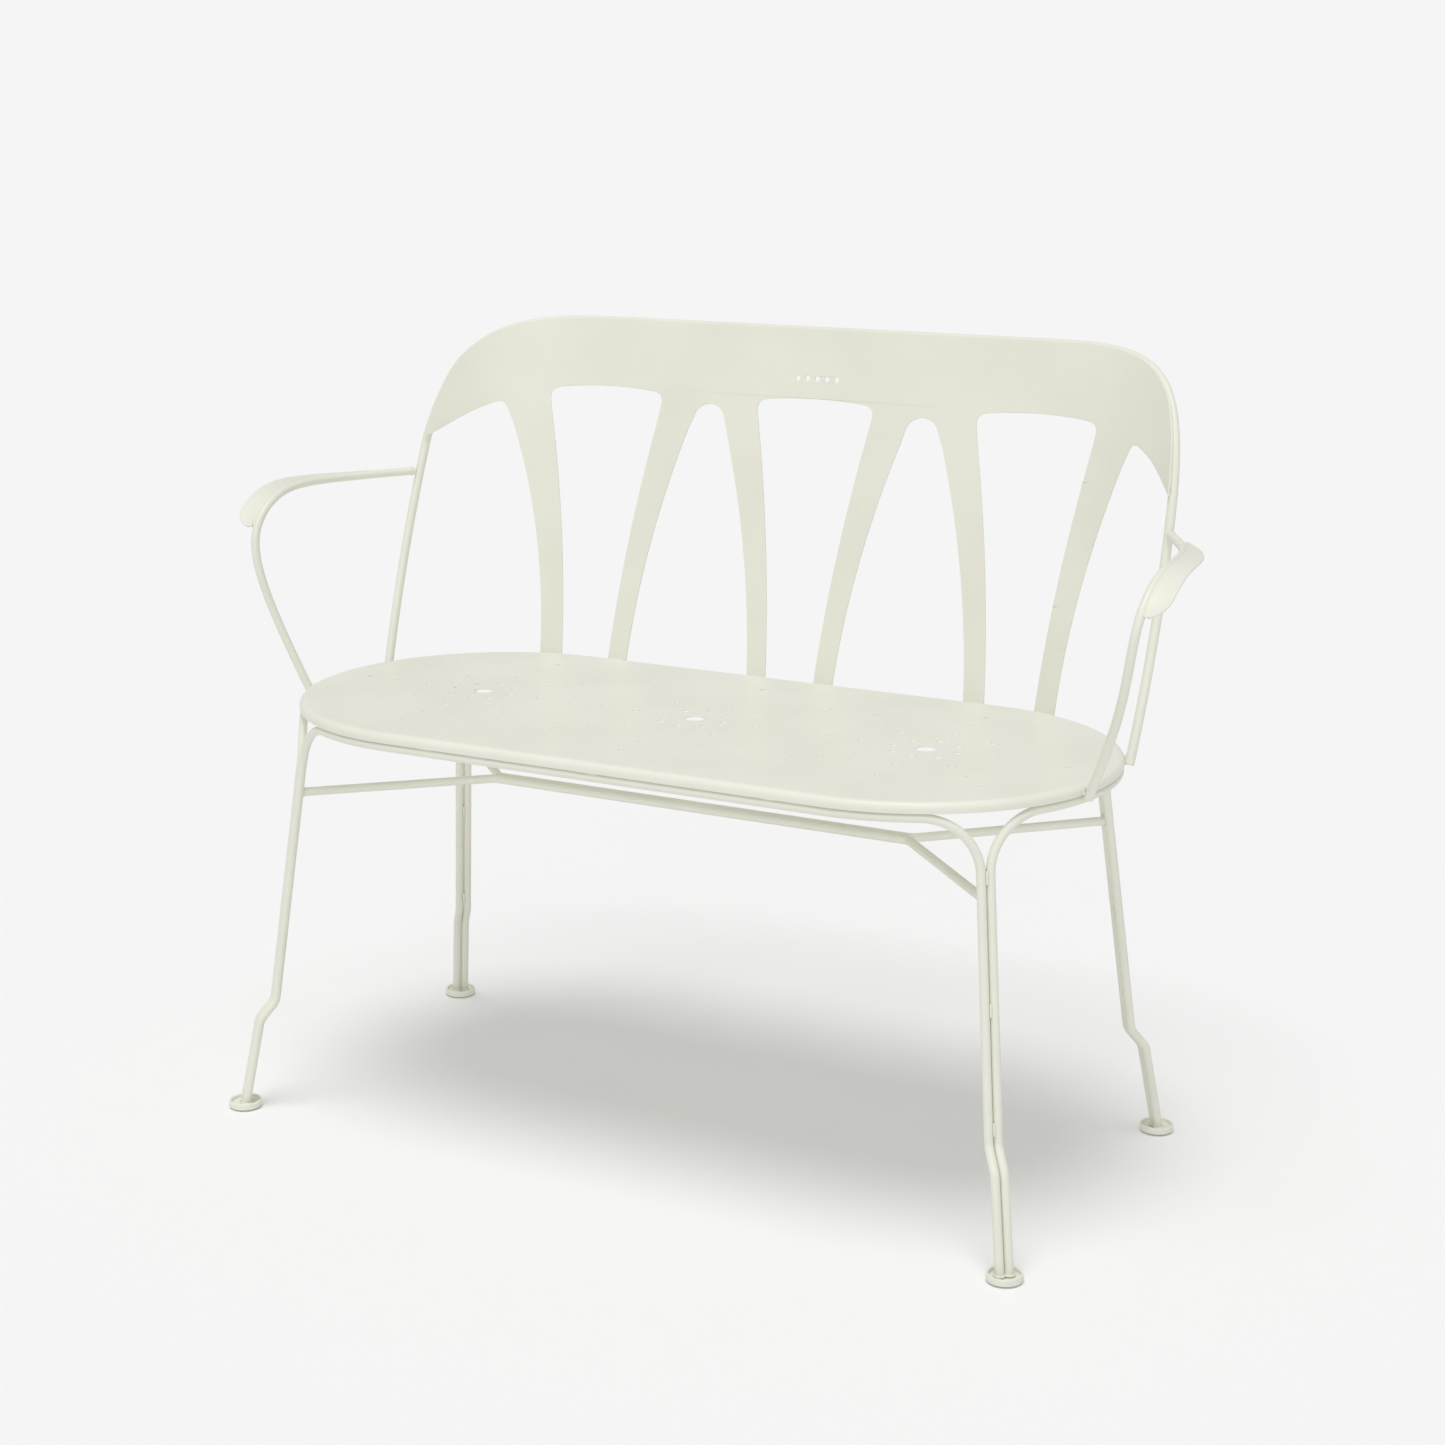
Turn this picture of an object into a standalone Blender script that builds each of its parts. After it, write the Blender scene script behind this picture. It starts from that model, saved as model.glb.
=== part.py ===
# Two-seat garden bench: a perforated steel seat pan on four bent rod frames,
# a sheet back with leaf-shaped splats on a tube hoop, and two rod arms with bent plates.
# Units are metres, +Z is up, +X is the sitter's left-to-right length and +Y points to the back.
# The bench is symmetric about X = 0, and the origin lies on the floor under the middle of its box.
import math

import bmesh
import bpy
from mathutils import Vector

collection_name = "garden_bench"
gap = 0.0003                    # clearance between parts that touch

# Seat pan: a stadium with full round ends
seat_height = 0.4525
end_centre_x = 0.2532           # centre of each round end
seat_end_radius = 0.2135
seat_sheet = 0.0012
lip_depth = 0.0108              # height of the rolled edge
lip_round = 0.0070
end_steps = 20                  # straight steps round each half-circle end

# Perforation: stars of holes on eight rays
star_pitch = 0.2686
star_hub_radius = 0.0100
star_rings = (                  # distance from the hub, hole radius, sides
    (0.0355, 0.0042, 8),
    (0.0730, 0.0037, 6),
    (0.1140, 0.0031, 6),
    (0.1530, 0.0031, 6),
)

# Frame rods
rod_radius = 0.00465
rod_spacing = 2 * rod_radius + gap
rail_radius = seat_end_radius - 0.0050
rail_z = seat_height - lip_depth - gap - rod_radius
leg_angle = math.radians(43.8)  # bearing of a leg from the front, seen from the round end's centre
leg_flare = 0.1475              # outward lean of the upper leg
bend_width = 0.058              # size of the bend from rail to leg
bend_height = 0.055
upper_knee_z = 0.1215
lower_knee_z = 0.1005
lower_knee_reach = 0.0178       # how far the leg steps out between the knees
foot_flare = 0.2050             # outward lean below the knees
knee_bend_radius = 0.018
rod_end_z = 0.0062

# Cross brace
brace_radius = rod_radius
brace_z = 0.3550
brace_end_z = 0.3560
brace_bend_radius = 0.012

# Feet
foot_radius = 0.0180
foot_height = 0.0090
foot_base_top = 0.0045
glide_radius = 0.0150
glide_height = 0.0012
foot_sides = 18

# Back: a flaring surface that starts as the seat's outline
back_lean = 0.1946              # how far the back goes rearward for each metre of height
back_start_y = 0.2159
back_end_radius = 0.2162
back_radius_growth = 0.27
back_tuck = 1.0                 # how much harder the ends turn in towards the hoop
back_tuck_start = 0.08          # distance past the straight part where that begins
back_sheet = 0.0020
back_cuts = 10                  # upright lines on which the round ends bend
back_cut_step = 0.0205
splat_foot_z = 0.4435
vent_z = 0.7835                 # a short row of round holes in the top panel
vent_pitch = 0.012
vent_radius = 0.003
vents_each_side = 2

# Splat edges seen from the front: distance from the middle at seat height, slope and curve
inner_splat_inner_edge = (0.0307, 0.0652, 0.2619)
inner_splat_outer_edge = (0.0545, 0.0684, 0.5132)
middle_splat_inner_edge = (0.2138, -0.0660, -0.5159)
middle_splat_outer_edge = (0.2383, -0.0627, -0.2765)
outer_splat_inner_edge = (0.2991, 0.0569, 0.2910)
outer_splat_outer_edge = (0.3246, 0.0450, 0.5952)

# Tops of the spaces between the splats
window_edge_z = 0.7475          # where a window's sides end
window_crown_z = 0.7613
window_drop = 0.0045            # how far a window's top falls towards its corners
window_corner = 0.013
middle_window_half_width = 0.0745
outer_window_x = 0.2688
outer_window_half_width = 0.0735
arch_edge_z = 0.7175            # where a pointed arch's sides end
arch_crown = (0.1333, 0.7295)
arch_crown_size = (0.0203, 0.0190)
side_arch = (                   # lower edge of the top panel from the hoop to the outer splat
    (0.4475, 0.7080),
    (0.4355, 0.7177),
    (0.4200, 0.7292),
    (0.4040, 0.7380),
    (0.3900, 0.7440),
)
side_arch_corner = 0.0105

# Hoop: a tube behind the sheet's edge
hoop_radius = 0.0050
hoop_lap_gap = 0.0005           # clearance between the tube and the sheet in front of it
hoop_lap = 0.0026               # how far the sheet reaches past the tube's centreline
hoop_lap_foot = -0.0040         # and where its sides end, short of the centreline
hoop_lap_rise = 0.35            # share of the corner over which one becomes the other
hoop_end_z = 0.4405
hoop_corner_z = 0.7025          # where the side tube starts to bend
hoop_corner_pulls = ((0.4460, 0.8145), (0.4105, 0.8348))
hoop_corner_top_x = 0.300       # where the straight top bar starts to bend
hoop_top_z = 0.8348
hoop_foot = (0.4566, 0.0848)    # the side tube at seat height
hoop_bow = (0.0656, -0.2448)    # its slope and curve to the side
hoop_lean = 0.3590              # its slope to the back

# Arms
arm_radius = rod_radius
arm_route = (                   # control points of the right arm rod, from the hoop to the seat
    (0.4634, 0.1548, 0.6635),
    (0.5000, 0.1000, 0.6625),
    (0.5190, 0.0340, 0.6645),
    (0.5190, -0.0330, 0.6625),
    (0.5170, -0.0840, 0.6255),
    (0.5100, -0.0810, 0.5685),
    (0.4930, -0.0660, 0.5075),
    (0.4643, -0.0543, 0.4390),
)
paddle_start = 0.065            # stretch of the arm rod that carries the plate
paddle_end = 0.590
paddle_lead = 0.02              # shares of the plate's length: its taper and its blunt end
paddle_taper = 0.48
paddle_blunt = 0.16
paddle_inner = arm_radius + gap     # the plate's edge along the rod
paddle_outer = 0.0275           # reach of the plate to the rod's outer side
paddle_rise = 0.0040            # height of its top face over the rod's axis
paddle_sheet = 0.0025
paddle_tilt = math.radians(1)

tube_steps = 2                  # bevel resolution: eight sides


# ---------------------------------------------------------------- scene and helpers

for old in list(bpy.data.objects):
    bpy.data.objects.remove(old, do_unlink=True)

parts = bpy.data.collections.new(collection_name)
cutters = bpy.data.collections.new(collection_name + "_cutters")
bpy.context.scene.collection.children.link(parts)
bpy.context.scene.collection.children.link(cutters)


def make_material(name, colour, roughness, metallic):
    material = bpy.data.materials.new(name)
    material.use_nodes = True
    shader = material.node_tree.nodes["Principled BSDF"]
    shader.inputs["Base Color"].default_value = (*colour, 1.0)
    shader.inputs["Roughness"].default_value = roughness
    shader.inputs["Metallic"].default_value = metallic
    return material


def finish(part, material):
    # gives a sub-part its material and its place in the bench's collection
    part.data.materials.append(material)
    parts.objects.link(part)
    return part


def mesh_part(name, bm, material, smooth_angle=40):
    mesh = bpy.data.meshes.new(name)
    bm.to_mesh(mesh)
    bm.free()
    mesh.shade_smooth()
    mesh.set_sharp_from_angle(angle=math.radians(smooth_angle))
    return finish(bpy.data.objects.new(name, mesh), material)


def tube_part(name, points, radius, material):
    # a bent round rod with closed ends
    curve = bpy.data.curves.new(name, "CURVE")
    curve.dimensions = "3D"
    curve.bevel_depth = radius
    curve.bevel_resolution = tube_steps
    curve.use_fill_caps = True
    spline = curve.splines.new("POLY")
    spline.points.add(len(points) - 1)
    for point, place in zip(spline.points, points):
        point.co = (*place, 1.0)
    return finish(bpy.data.objects.new(name, curve), material)


def flat_sheet(outlines):
    # fills closed 2D outlines, the inner ones as holes, and returns the flat mesh as a bmesh
    curve = bpy.data.curves.new("outline", "CURVE")
    curve.dimensions = "2D"
    curve.fill_mode = "BOTH"
    for outline in outlines:
        spline = curve.splines.new("POLY")
        spline.points.add(len(outline) - 1)
        spline.use_cyclic_u = True
        for point, (x, y) in zip(spline.points, outline):
            point.co = (x, y, 0.0, 1.0)
    guide = bpy.data.objects.new("outline", curve)
    bpy.context.scene.collection.objects.link(guide)
    evaluated = guide.evaluated_get(bpy.context.evaluated_depsgraph_get())
    mesh = bpy.data.meshes.new_from_object(evaluated)
    bm = bmesh.new()
    bm.from_mesh(mesh)
    bmesh.ops.remove_doubles(bm, verts=bm.verts, dist=0.00001)
    bpy.data.objects.remove(guide, do_unlink=True)
    bpy.data.curves.remove(curve)
    bpy.data.meshes.remove(mesh)
    for face in bm.faces:
        if face.normal.z < 0:
            face.normal_flip()
    return bm


def add_solidify(part, thickness):
    # the wall grows from the surface away from its normals
    wall = part.modifiers.new("wall", "SOLIDIFY")
    wall.thickness = thickness
    wall.offset = -1.0
    wall.use_even_offset = True


def mirror_points(points, flip_x=False, flip_y=False):
    x_sign = -1 if flip_x else 1
    y_sign = -1 if flip_y else 1
    return [Vector((x_sign * p[0], y_sign * p[1], p[2])) for p in points]


def rounded(points, radius, steps=3):
    # a path whose inner corners are turned into arcs of one radius
    points = [Vector(p) for p in points]
    path = [points[0]]
    for before, corner, after in zip(points, points[1:], points[2:]):
        back = (before - corner).normalized()
        ahead = (after - corner).normalized()
        half_turn = (math.pi - back.angle(ahead)) / 2
        room = 0.48 * min((before - corner).length, (after - corner).length)
        reach = min(radius * math.tan(half_turn), room)
        start = corner + back * reach
        end = corner + ahead * reach
        for step in range(steps + 1):
            t = step / steps
            path.append(start * (1 - t) ** 2 + corner * (2 * t * (1 - t)) + end * t ** 2)
    path.append(points[-1])
    return path


def smooth_path(controls, at):
    # points of a clamped uniform cubic B-spline at parameters between 0 and 1
    controls = [Vector(c) for c in controls]
    spans = len(controls) - 3
    knots = [0] * 3 + list(range(spans + 1)) + [spans] * 3
    path = []
    for share in at:
        u = min(max(share, 0.0), 1.0) * spans
        span = min(int(u), spans - 1) + 3
        work = [controls[span - 3 + j] for j in range(4)]
        for level in range(1, 4):
            for j in range(3, level - 1, -1):
                low = knots[span - 3 + j]
                high = knots[span + 1 + j - level]
                blend = (u - low) / (high - low)
                work[j] = work[j - 1] * (1 - blend) + work[j] * blend
        path.append(work[3])
    return path


def even(count, start=0.0, stop=1.0):
    return [start + (stop - start) * i / (count - 1) for i in range(count)]


powder_coat = make_material("powder_coat", (0.76, 0.76, 0.68), 0.45, 0.0)
glide_plastic = make_material("glide_plastic", (0.62, 0.62, 0.56), 0.55, 0.0)


# ---------------------------------------------------------------- seat pan

def stadium(radius, steps):
    points = []
    for side in (1, -1):
        for step in range(steps + 1):
            turn = math.pi * step / steps
            x = end_centre_x + radius * math.sin(turn)
            points.append((side * x, -side * radius * math.cos(turn)))
    return points


def star_holes():
    # centre, radius and number of sides of every hole in the seat
    holes = []
    for column in (-1, 0, 1):
        centre_x = column * star_pitch
        holes.append((centre_x, 0.0, star_hub_radius, 16))
        for distance, radius, sides in star_rings:
            for ray in range(8):
                x = centre_x + distance * math.cos(ray * math.pi / 4)
                y = distance * math.sin(ray * math.pi / 4)
                between_stars = abs(y) < 0.001 and distance > star_pitch / 2 and abs(x) < star_pitch
                if not between_stars:
                    holes.append((x, y, radius, sides))
    return holes


def build_seat():
    bm = flat_sheet([stadium(seat_end_radius, end_steps)])
    bmesh.ops.dissolve_limit(bm, angle_limit=0.01, verts=bm.verts, edges=bm.edges)
    bmesh.ops.translate(bm, verts=bm.verts, vec=(0, 0, seat_height))
    rim = bmesh.ops.extrude_edge_only(bm, edges=[e for e in bm.edges if e.is_boundary])
    lower = [v for v in rim["geom"] if isinstance(v, bmesh.types.BMVert)]
    bmesh.ops.translate(bm, verts=lower, vec=(0, 0, -lip_depth))
    bmesh.ops.recalc_face_normals(bm, faces=bm.faces)
    if max(bm.faces, key=lambda f: f.calc_area()).normal.z < 0:
        bmesh.ops.reverse_faces(bm, faces=bm.faces)
    seat = mesh_part("seat_pan", bm, powder_coat)

    shoulder = seat.modifiers.new("rolled_edge", "BEVEL")
    shoulder.width = lip_round
    shoulder.segments = 3
    shoulder.limit_method = "ANGLE"
    shoulder.angle_limit = math.radians(60)
    add_solidify(seat, seat_sheet)

    holes = bmesh.new()
    for x, y, radius, sides in star_holes():
        drill = bmesh.ops.create_cone(
            holes, cap_ends=True, segments=sides, radius1=radius, radius2=radius, depth=0.02)
        bmesh.ops.translate(holes, verts=drill["verts"], vec=(x, y, seat_height))
    mesh = bpy.data.meshes.new("seat_holes")
    holes.to_mesh(mesh)
    holes.free()
    cutter = bpy.data.objects.new("seat_holes", mesh)
    cutter.hide_render = True
    cutter.display_type = "WIRE"
    cutters.objects.link(cutter)
    perforation = seat.modifiers.new("perforation", "BOOLEAN")
    perforation.operation = "DIFFERENCE"
    perforation.object = cutter


# ---------------------------------------------------------------- rails and legs

def round_end(bearing, distance, z):
    # a point round the right end: bearing 0 points to the front, a right angle points to +X
    return Vector((end_centre_x + distance * math.sin(bearing), -distance * math.cos(bearing), z))


def leg_reach(z):
    # distance of the leg pair from the round end's centre, above the knees
    return rail_radius + leg_flare * (rail_z - z)


def leg_line(side):
    # one rod of the front right leg, foot to bend: side -1 is the front rail's, 1 the side rail's
    along = Vector((math.cos(leg_angle), math.sin(leg_angle), 0)) * side * rod_spacing / 2
    lower_knee = leg_reach(upper_knee_z) + lower_knee_reach
    heights = (
        (lower_knee + foot_flare * (lower_knee_z - rod_end_z), rod_end_z),
        (lower_knee, lower_knee_z),
        (leg_reach(upper_knee_z), upper_knee_z),
        (leg_reach(rail_z - bend_height), rail_z - bend_height),
    )
    corners = [round_end(leg_angle, distance, z) + along for distance, z in heights]
    return rounded(corners, knee_bend_radius, 2)


def rail_bend(side, steps=7):
    # the quarter bend from the top of the leg rod to the rail, following the round end
    path = []
    for step in range(1, steps + 1):
        turn = math.pi / 2 * step / steps
        z = rail_z - bend_height * (1 - math.sin(turn))
        distance = leg_reach(z)
        travel = rod_spacing / 2 + bend_width * (1 - math.cos(turn))
        path.append(round_end(leg_angle + side * travel / distance, distance, z))
    return path


def long_rail_rod():
    # left foot, front rail and right foot in one rod
    half = leg_line(-1) + rail_bend(-1)
    bend_end = leg_angle - (rod_spacing / 2 + bend_width) / rail_radius
    half += [round_end(bend_end * (1 - t), rail_radius, rail_z) for t in (0.25, 0.5, 0.75, 1.0)]
    return half + mirror_points(reversed(half), flip_x=True)


def short_rail_rod():
    # front foot, the rail round one end and rear foot in one rod
    half = leg_line(1) + rail_bend(1)
    bend_end = leg_angle + (rod_spacing / 2 + bend_width) / rail_radius
    half += [round_end(bend_end + (math.pi / 2 - bend_end) * t, rail_radius, rail_z) for t in (0.33, 0.67)]
    middle = [round_end(math.pi / 2, rail_radius, rail_z)]
    return half + middle + mirror_points(reversed(half), flip_y=True)


def build_rails():
    tube_part("front_rail_and_legs", long_rail_rod(), rod_radius, powder_coat)
    tube_part("rear_rail_and_legs", mirror_points(long_rail_rod(), flip_y=True), rod_radius, powder_coat)
    tube_part("right_rail_and_legs", short_rail_rod(), rod_radius, powder_coat)
    tube_part("left_rail_and_legs", mirror_points(short_rail_rod(), flip_x=True), rod_radius, powder_coat)


def build_braces():
    # each brace rod runs from leg to leg along the middle, beside its twin
    end_reach = leg_reach(brace_end_z) - rod_radius - 2 * gap
    beside = brace_radius + gap / 2
    leg_end = round_end(leg_angle, end_reach, brace_end_z)
    node = Vector((end_centre_x, -beside, brace_z))
    corners = [leg_end, node, *mirror_points([node, leg_end], flip_x=True)]
    path = rounded(corners, brace_bend_radius, 3)
    tube_part("front_brace_rod", path, brace_radius, powder_coat)
    tube_part("rear_brace_rod", mirror_points(path, flip_y=True), brace_radius, powder_coat)


# ---------------------------------------------------------------- feet

def turned_part(name, profile, sides, place, material):
    # a profile of (radius, height) points, top to bottom, turned about a vertical axis at the place
    bm = bmesh.new()
    verts = [bm.verts.new((radius, 0, z)) for radius, z in profile]
    for low, high in zip(verts, verts[1:]):
        bm.edges.new((low, high))
    part = mesh_part(name, bm, material)
    part.location = place
    turn = part.modifiers.new("turned", "SCREW")
    turn.angle = math.tau
    turn.steps = sides
    turn.render_steps = sides
    turn.use_merge_vertices = True
    turn.merge_threshold = 0.00001
    return part


def build_feet():
    lower_knee = leg_reach(upper_knee_z) + lower_knee_reach
    foot_reach = lower_knee + foot_flare * (lower_knee_z - foot_base_top)
    base_z = glide_height + gap
    wall = 0.0028
    cup = [
        (0.0, foot_base_top),
        (foot_radius - wall - 0.001, foot_base_top),
        (foot_radius - wall, foot_base_top + 0.001),
        (foot_radius - wall + 0.0006, foot_height - 0.0005),
        (foot_radius - wall / 2, foot_height),
        (foot_radius - 0.0005, foot_height - 0.0008),
        (foot_radius, foot_height - 0.0025),
        (foot_radius, base_z + 0.0015),
        (foot_radius - 0.0015, base_z),
        (0.0, base_z),
    ]
    glide = [(0.0, glide_height), (glide_radius, glide_height), (glide_radius, 0.0), (0.0, 0.0)]
    for side, flip_x in (("right", False), ("left", True)):
        for end, flip_y in (("front", False), ("rear", True)):
            place = mirror_points([round_end(leg_angle, foot_reach, 0)], flip_x, flip_y)[0]
            turned_part(f"{end}_{side}_foot", cup, foot_sides, place, powder_coat)
            turned_part(f"{end}_{side}_glide", glide, foot_sides, place, glide_plastic)


# ---------------------------------------------------------------- back

def back_y(x, z):
    # the back's front face: flat in the middle, with round ends that widen towards the top
    rise = z - seat_height
    middle = back_start_y + back_lean * rise
    radius = back_end_radius + back_radius_growth * rise
    beyond = max(abs(x) - end_centre_x, 0.0)
    tuck = back_tuck * max(beyond - back_tuck_start, 0.0) ** 2
    return middle - radius + math.sqrt(max(radius ** 2 - beyond ** 2, 0.0)) - tuck


def behind_sheet(x, z, depth):
    # the point straight behind the front face that lies at some depth, measured square to the sheet
    step = 0.001
    slope_x = (back_y(x + step, z) - back_y(x - step, z)) / (2 * step)
    slope_z = (back_y(x, z + step) - back_y(x, z - step)) / (2 * step)
    return Vector((x, back_y(x, z) + depth * math.sqrt(1 + slope_x ** 2 + slope_z ** 2), z))


def hoop_side(z):
    # the side tube leans with the back and bows slightly outward
    rise = z - seat_height
    slope, curve = hoop_bow
    return Vector((hoop_foot[0] + slope * rise + curve * rise ** 2, hoop_foot[1] + hoop_lean * rise, z))


def bezier(corners, t):
    a, b, c, d = (Vector(p) for p in corners)
    u = 1 - t
    return a * u ** 3 + b * 3 * u * u * t + c * 3 * u * t * t + d * t ** 3


def hoop_corner(t):
    # the big corner seen from the front, side tube to top bar
    side_x = hoop_side(hoop_corner_z).x
    corners = ((side_x, hoop_corner_z), *hoop_corner_pulls, (hoop_corner_top_x, hoop_top_z))
    return bezier([(x, z, 0) for x, z in corners], t)


def hoop_half():
    # up the side, round the corner, then along the top to where the sheet turns flat
    path = [hoop_side(z) for z in even(8, hoop_end_z, hoop_corner_z)]
    front_view = [(place.x, place.y) for place in map(hoop_corner, even(13)[1:])]
    front_view += [(x, hoop_top_z) for x in even(4, hoop_corner_top_x, end_centre_x)[1:]]
    depth = back_sheet + hoop_lap_gap + hoop_radius
    return path + [behind_sheet(x, z, depth) for x, z in front_view]


def build_hoop():
    half = hoop_half()
    tube_part("back_hoop", half + mirror_points(reversed(half), flip_x=True), hoop_radius, powder_coat)


def splat_edge(shape, low_z, high_z, count=7):
    # one long edge of a splat, seen from the front
    start, slope, curve = shape
    edge = []
    for z in even(count, low_z, high_z):
        rise = z - seat_height
        edge.append((start + slope * rise + curve * rise ** 2, z))
    return edge


def window_top(centre_x, half_width, count=7):
    # the slightly arched top edge of a window, from its outer to its inner corner
    top = []
    for share in even(count, 1.0, -1.0):
        top.append((centre_x + half_width * share, window_crown_z - window_drop * share ** 2))
    return top


def soften(points, index, radius, steps=4):
    # rounds one corner of a flat outline
    before, corner, after = (Vector((*points[i], 0)) for i in (index - 1, index, index + 1))
    arc = rounded([before, corner, after], radius, steps)[1:-1]
    return points[:index] + [(p.x, p.y) for p in arc] + points[index + 1:]


def joined(*runs, radius, steps=4):
    # chains two edges and a top into one outline with its two top corners rounded
    up, top, down = runs
    points = list(up) + list(top) + list(down)
    points = soften(points, len(up) + len(top) - 1, radius, steps)
    return soften(points, len(up), radius, steps)


def back_outline_half():
    # from the middle of the top edge round the right half to the middle window's crown
    outline = [(0.0, hoop_top_z + hoop_lap)]
    for t in even(13, 1.0, 0.0):
        here = hoop_corner(t)
        ahead = hoop_corner(max(t - 0.01, 0.0))
        behind = hoop_corner(min(t + 0.01, 1.0))
        # the sheet's own slope shortens the overlap as it is seen from the front
        slope = (back_y(here.x + 0.001, here.y) - back_y(here.x - 0.001, here.y)) / 0.002
        stretch = math.sqrt(1 + slope ** 2)
        run = Vector(((ahead.x - behind.x) * stretch, ahead.y - behind.y, 0)).normalized()
        lap = hoop_lap_foot + (hoop_lap - hoop_lap_foot) * min(t / hoop_lap_rise, 1.0)
        outline.append((here.x - run.y * lap / stretch, here.y + run.x * lap))

    outer_down = splat_edge(outer_splat_outer_edge, arch_edge_z, splat_foot_z)
    arch = [*side_arch, *outer_down]
    outline += soften(arch, len(side_arch) - 1, side_arch_corner)

    outer_up = splat_edge(outer_splat_inner_edge, splat_foot_z, window_edge_z)
    middle_down = splat_edge(middle_splat_outer_edge, window_edge_z, splat_foot_z)
    top = window_top(outer_window_x, outer_window_half_width)
    outline += joined(outer_up, top, middle_down, radius=window_corner)

    outline += splat_edge(middle_splat_inner_edge, splat_foot_z, arch_edge_z)
    for turn in even(9, math.radians(15), math.radians(165)):
        x = arch_crown[0] + arch_crown_size[0] * math.cos(turn)
        z = arch_crown[1] + arch_crown_size[1] * math.sin(turn)
        outline.append((x, z))
    outline += splat_edge(inner_splat_outer_edge, arch_edge_z, splat_foot_z)

    inner_up = splat_edge(inner_splat_inner_edge, splat_foot_z, window_edge_z)
    half_top = window_top(0.0, middle_window_half_width, 13)[:7]
    outline += soften(inner_up + half_top, len(inner_up), window_corner)
    return outline


def circle(centre_x, centre_y, radius, sides):
    turns = [math.tau * i / sides for i in range(sides)]
    return [(centre_x + radius * math.cos(t), centre_y + radius * math.sin(t)) for t in turns]


def merge_strips(bm):
    # dissolves every inner edge that runs along no cut
    spare = []
    for edge in bm.edges:
        near, far = (vert.co for vert in edge.verts)
        upright = abs(near.x - far.x) < 0.00005 and abs(near.x) > end_centre_x - 0.001
        level = abs(near.y - vent_z) < 0.00005 and abs(far.y - vent_z) < 0.00005
        if not (upright or level or edge.is_boundary):
            spare.append(edge)
    bmesh.ops.dissolve_edges(bm, edges=spare, use_verts=False)
    idle = [vert for vert in bm.verts if not vert.is_boundary and len(vert.link_edges) == 2]
    bmesh.ops.dissolve_verts(bm, verts=idle)


def build_back_panel():
    half = back_outline_half()
    left = [(-x, z) for x, z in reversed(half[1:-1])]
    steps = range(-vents_each_side, vents_each_side + 1)
    vents = [circle(vent_pitch * step, vent_z, vent_radius, 8) for step in steps]
    bm = flat_sheet([half + left, *vents])
    cuts = [((side * (end_centre_x + cut * back_cut_step), 0, 0), (1, 0, 0))
            for cut in range(back_cuts) for side in (1, -1)]
    cuts.append(((0, vent_z, 0), (0, 1, 0)))
    for place, normal in cuts:
        bmesh.ops.bisect_plane(
            bm, geom=bm.verts[:] + bm.edges[:] + bm.faces[:], plane_co=place, plane_no=normal, dist=0.0001)
    # each strip between two cuts becomes one face before it is triangulated afresh
    merge_strips(bm)
    bmesh.ops.triangulate(bm, faces=bm.faces)
    for vert in bm.verts:
        x, z = vert.co.x, vert.co.y
        vert.co = (x, back_y(x, z), z)
    panel = mesh_part("back_panel", bm, powder_coat)
    add_solidify(panel, back_sheet)


# ---------------------------------------------------------------- arms

def paddle_reach(share):
    # distance of the plate's outer edge from the rod's axis: a long taper, then a blunt round front
    widen = math.sin(math.pi / 2 * min((share + paddle_lead) / paddle_taper, 1.0))
    close = max(share - 1 + paddle_blunt, 0.0) / paddle_blunt
    blunt = math.sqrt(max(1 - close ** 2, 0.0))
    return paddle_inner + (paddle_outer - paddle_inner) * widen * blunt


def paddle_stations():
    shares = even(12, 0.0, 1 - paddle_blunt)
    shares += [1 - paddle_blunt * left for left in (0.75, 0.5, 0.28, 0.12, 0.03)]
    controls = [Vector(c) for c in arm_route]
    stations = []
    for share in shares:
        t = paddle_start + (paddle_end - paddle_start) * share
        before, here, after = smooth_path(controls, (t - 0.01, t, t + 0.01))
        along = (after - before).normalized()
        up = Vector((0, 0, 1))
        normal = (up - along * up.dot(along)).normalized()
        outward = normal.cross(along)
        if outward.x < 0:
            outward = -outward
        tilted = outward * math.cos(paddle_tilt) + normal * math.sin(paddle_tilt)
        stations.append((here + normal * paddle_rise, tilted, paddle_reach(share)))
    return stations


def build_arms():
    route = smooth_path(arm_route, even(25))
    stations = paddle_stations()
    for side, flip in (("right", False), ("left", True)):
        tube_part(f"{side}_arm_rod", mirror_points(route, flip_x=flip), arm_radius, powder_coat)
        bm = bmesh.new()
        rows = []
        for top, outward, reach in stations:
            width = reach - paddle_inner
            places = [top + outward * (paddle_inner + width * share) for share in (0, 0.3, 0.65, 1)]
            rows.append([bm.verts.new(p) for p in mirror_points(places, flip_x=flip)])
        for near, far in zip(rows, rows[1:]):
            for a, b, c, d in zip(near, near[1:], far[1:], far):
                bm.faces.new((a, b, c, d))
        bmesh.ops.recalc_face_normals(bm, faces=bm.faces)
        if bm.faces[0].normal.z < 0:
            bmesh.ops.reverse_faces(bm, faces=bm.faces)
        paddle = mesh_part(f"{side}_armrest", bm, powder_coat)
        add_solidify(paddle, paddle_sheet)


def centre_on_floor():
    # moves the whole bench so that the middle of its box lies over the origin
    bpy.context.view_layer.update()
    depsgraph = bpy.context.evaluated_depsgraph_get()
    ys = []
    for part in parts.objects:
        evaluated = part.evaluated_get(depsgraph)
        mesh = evaluated.to_mesh()
        ys += [(part.matrix_world @ vert.co).y for vert in mesh.vertices]
        evaluated.to_mesh_clear()
    shift = -(min(ys) + max(ys)) / 2
    for part in [*parts.objects, *cutters.objects]:
        part.location.y += shift
    print(f"bench moved by {shift:.5f} m in Y to centre it over the origin")


build_seat()
build_rails()
build_braces()
build_feet()
build_back_panel()
build_hoop()
build_arms()
centre_on_floor()
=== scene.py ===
import math

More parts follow.
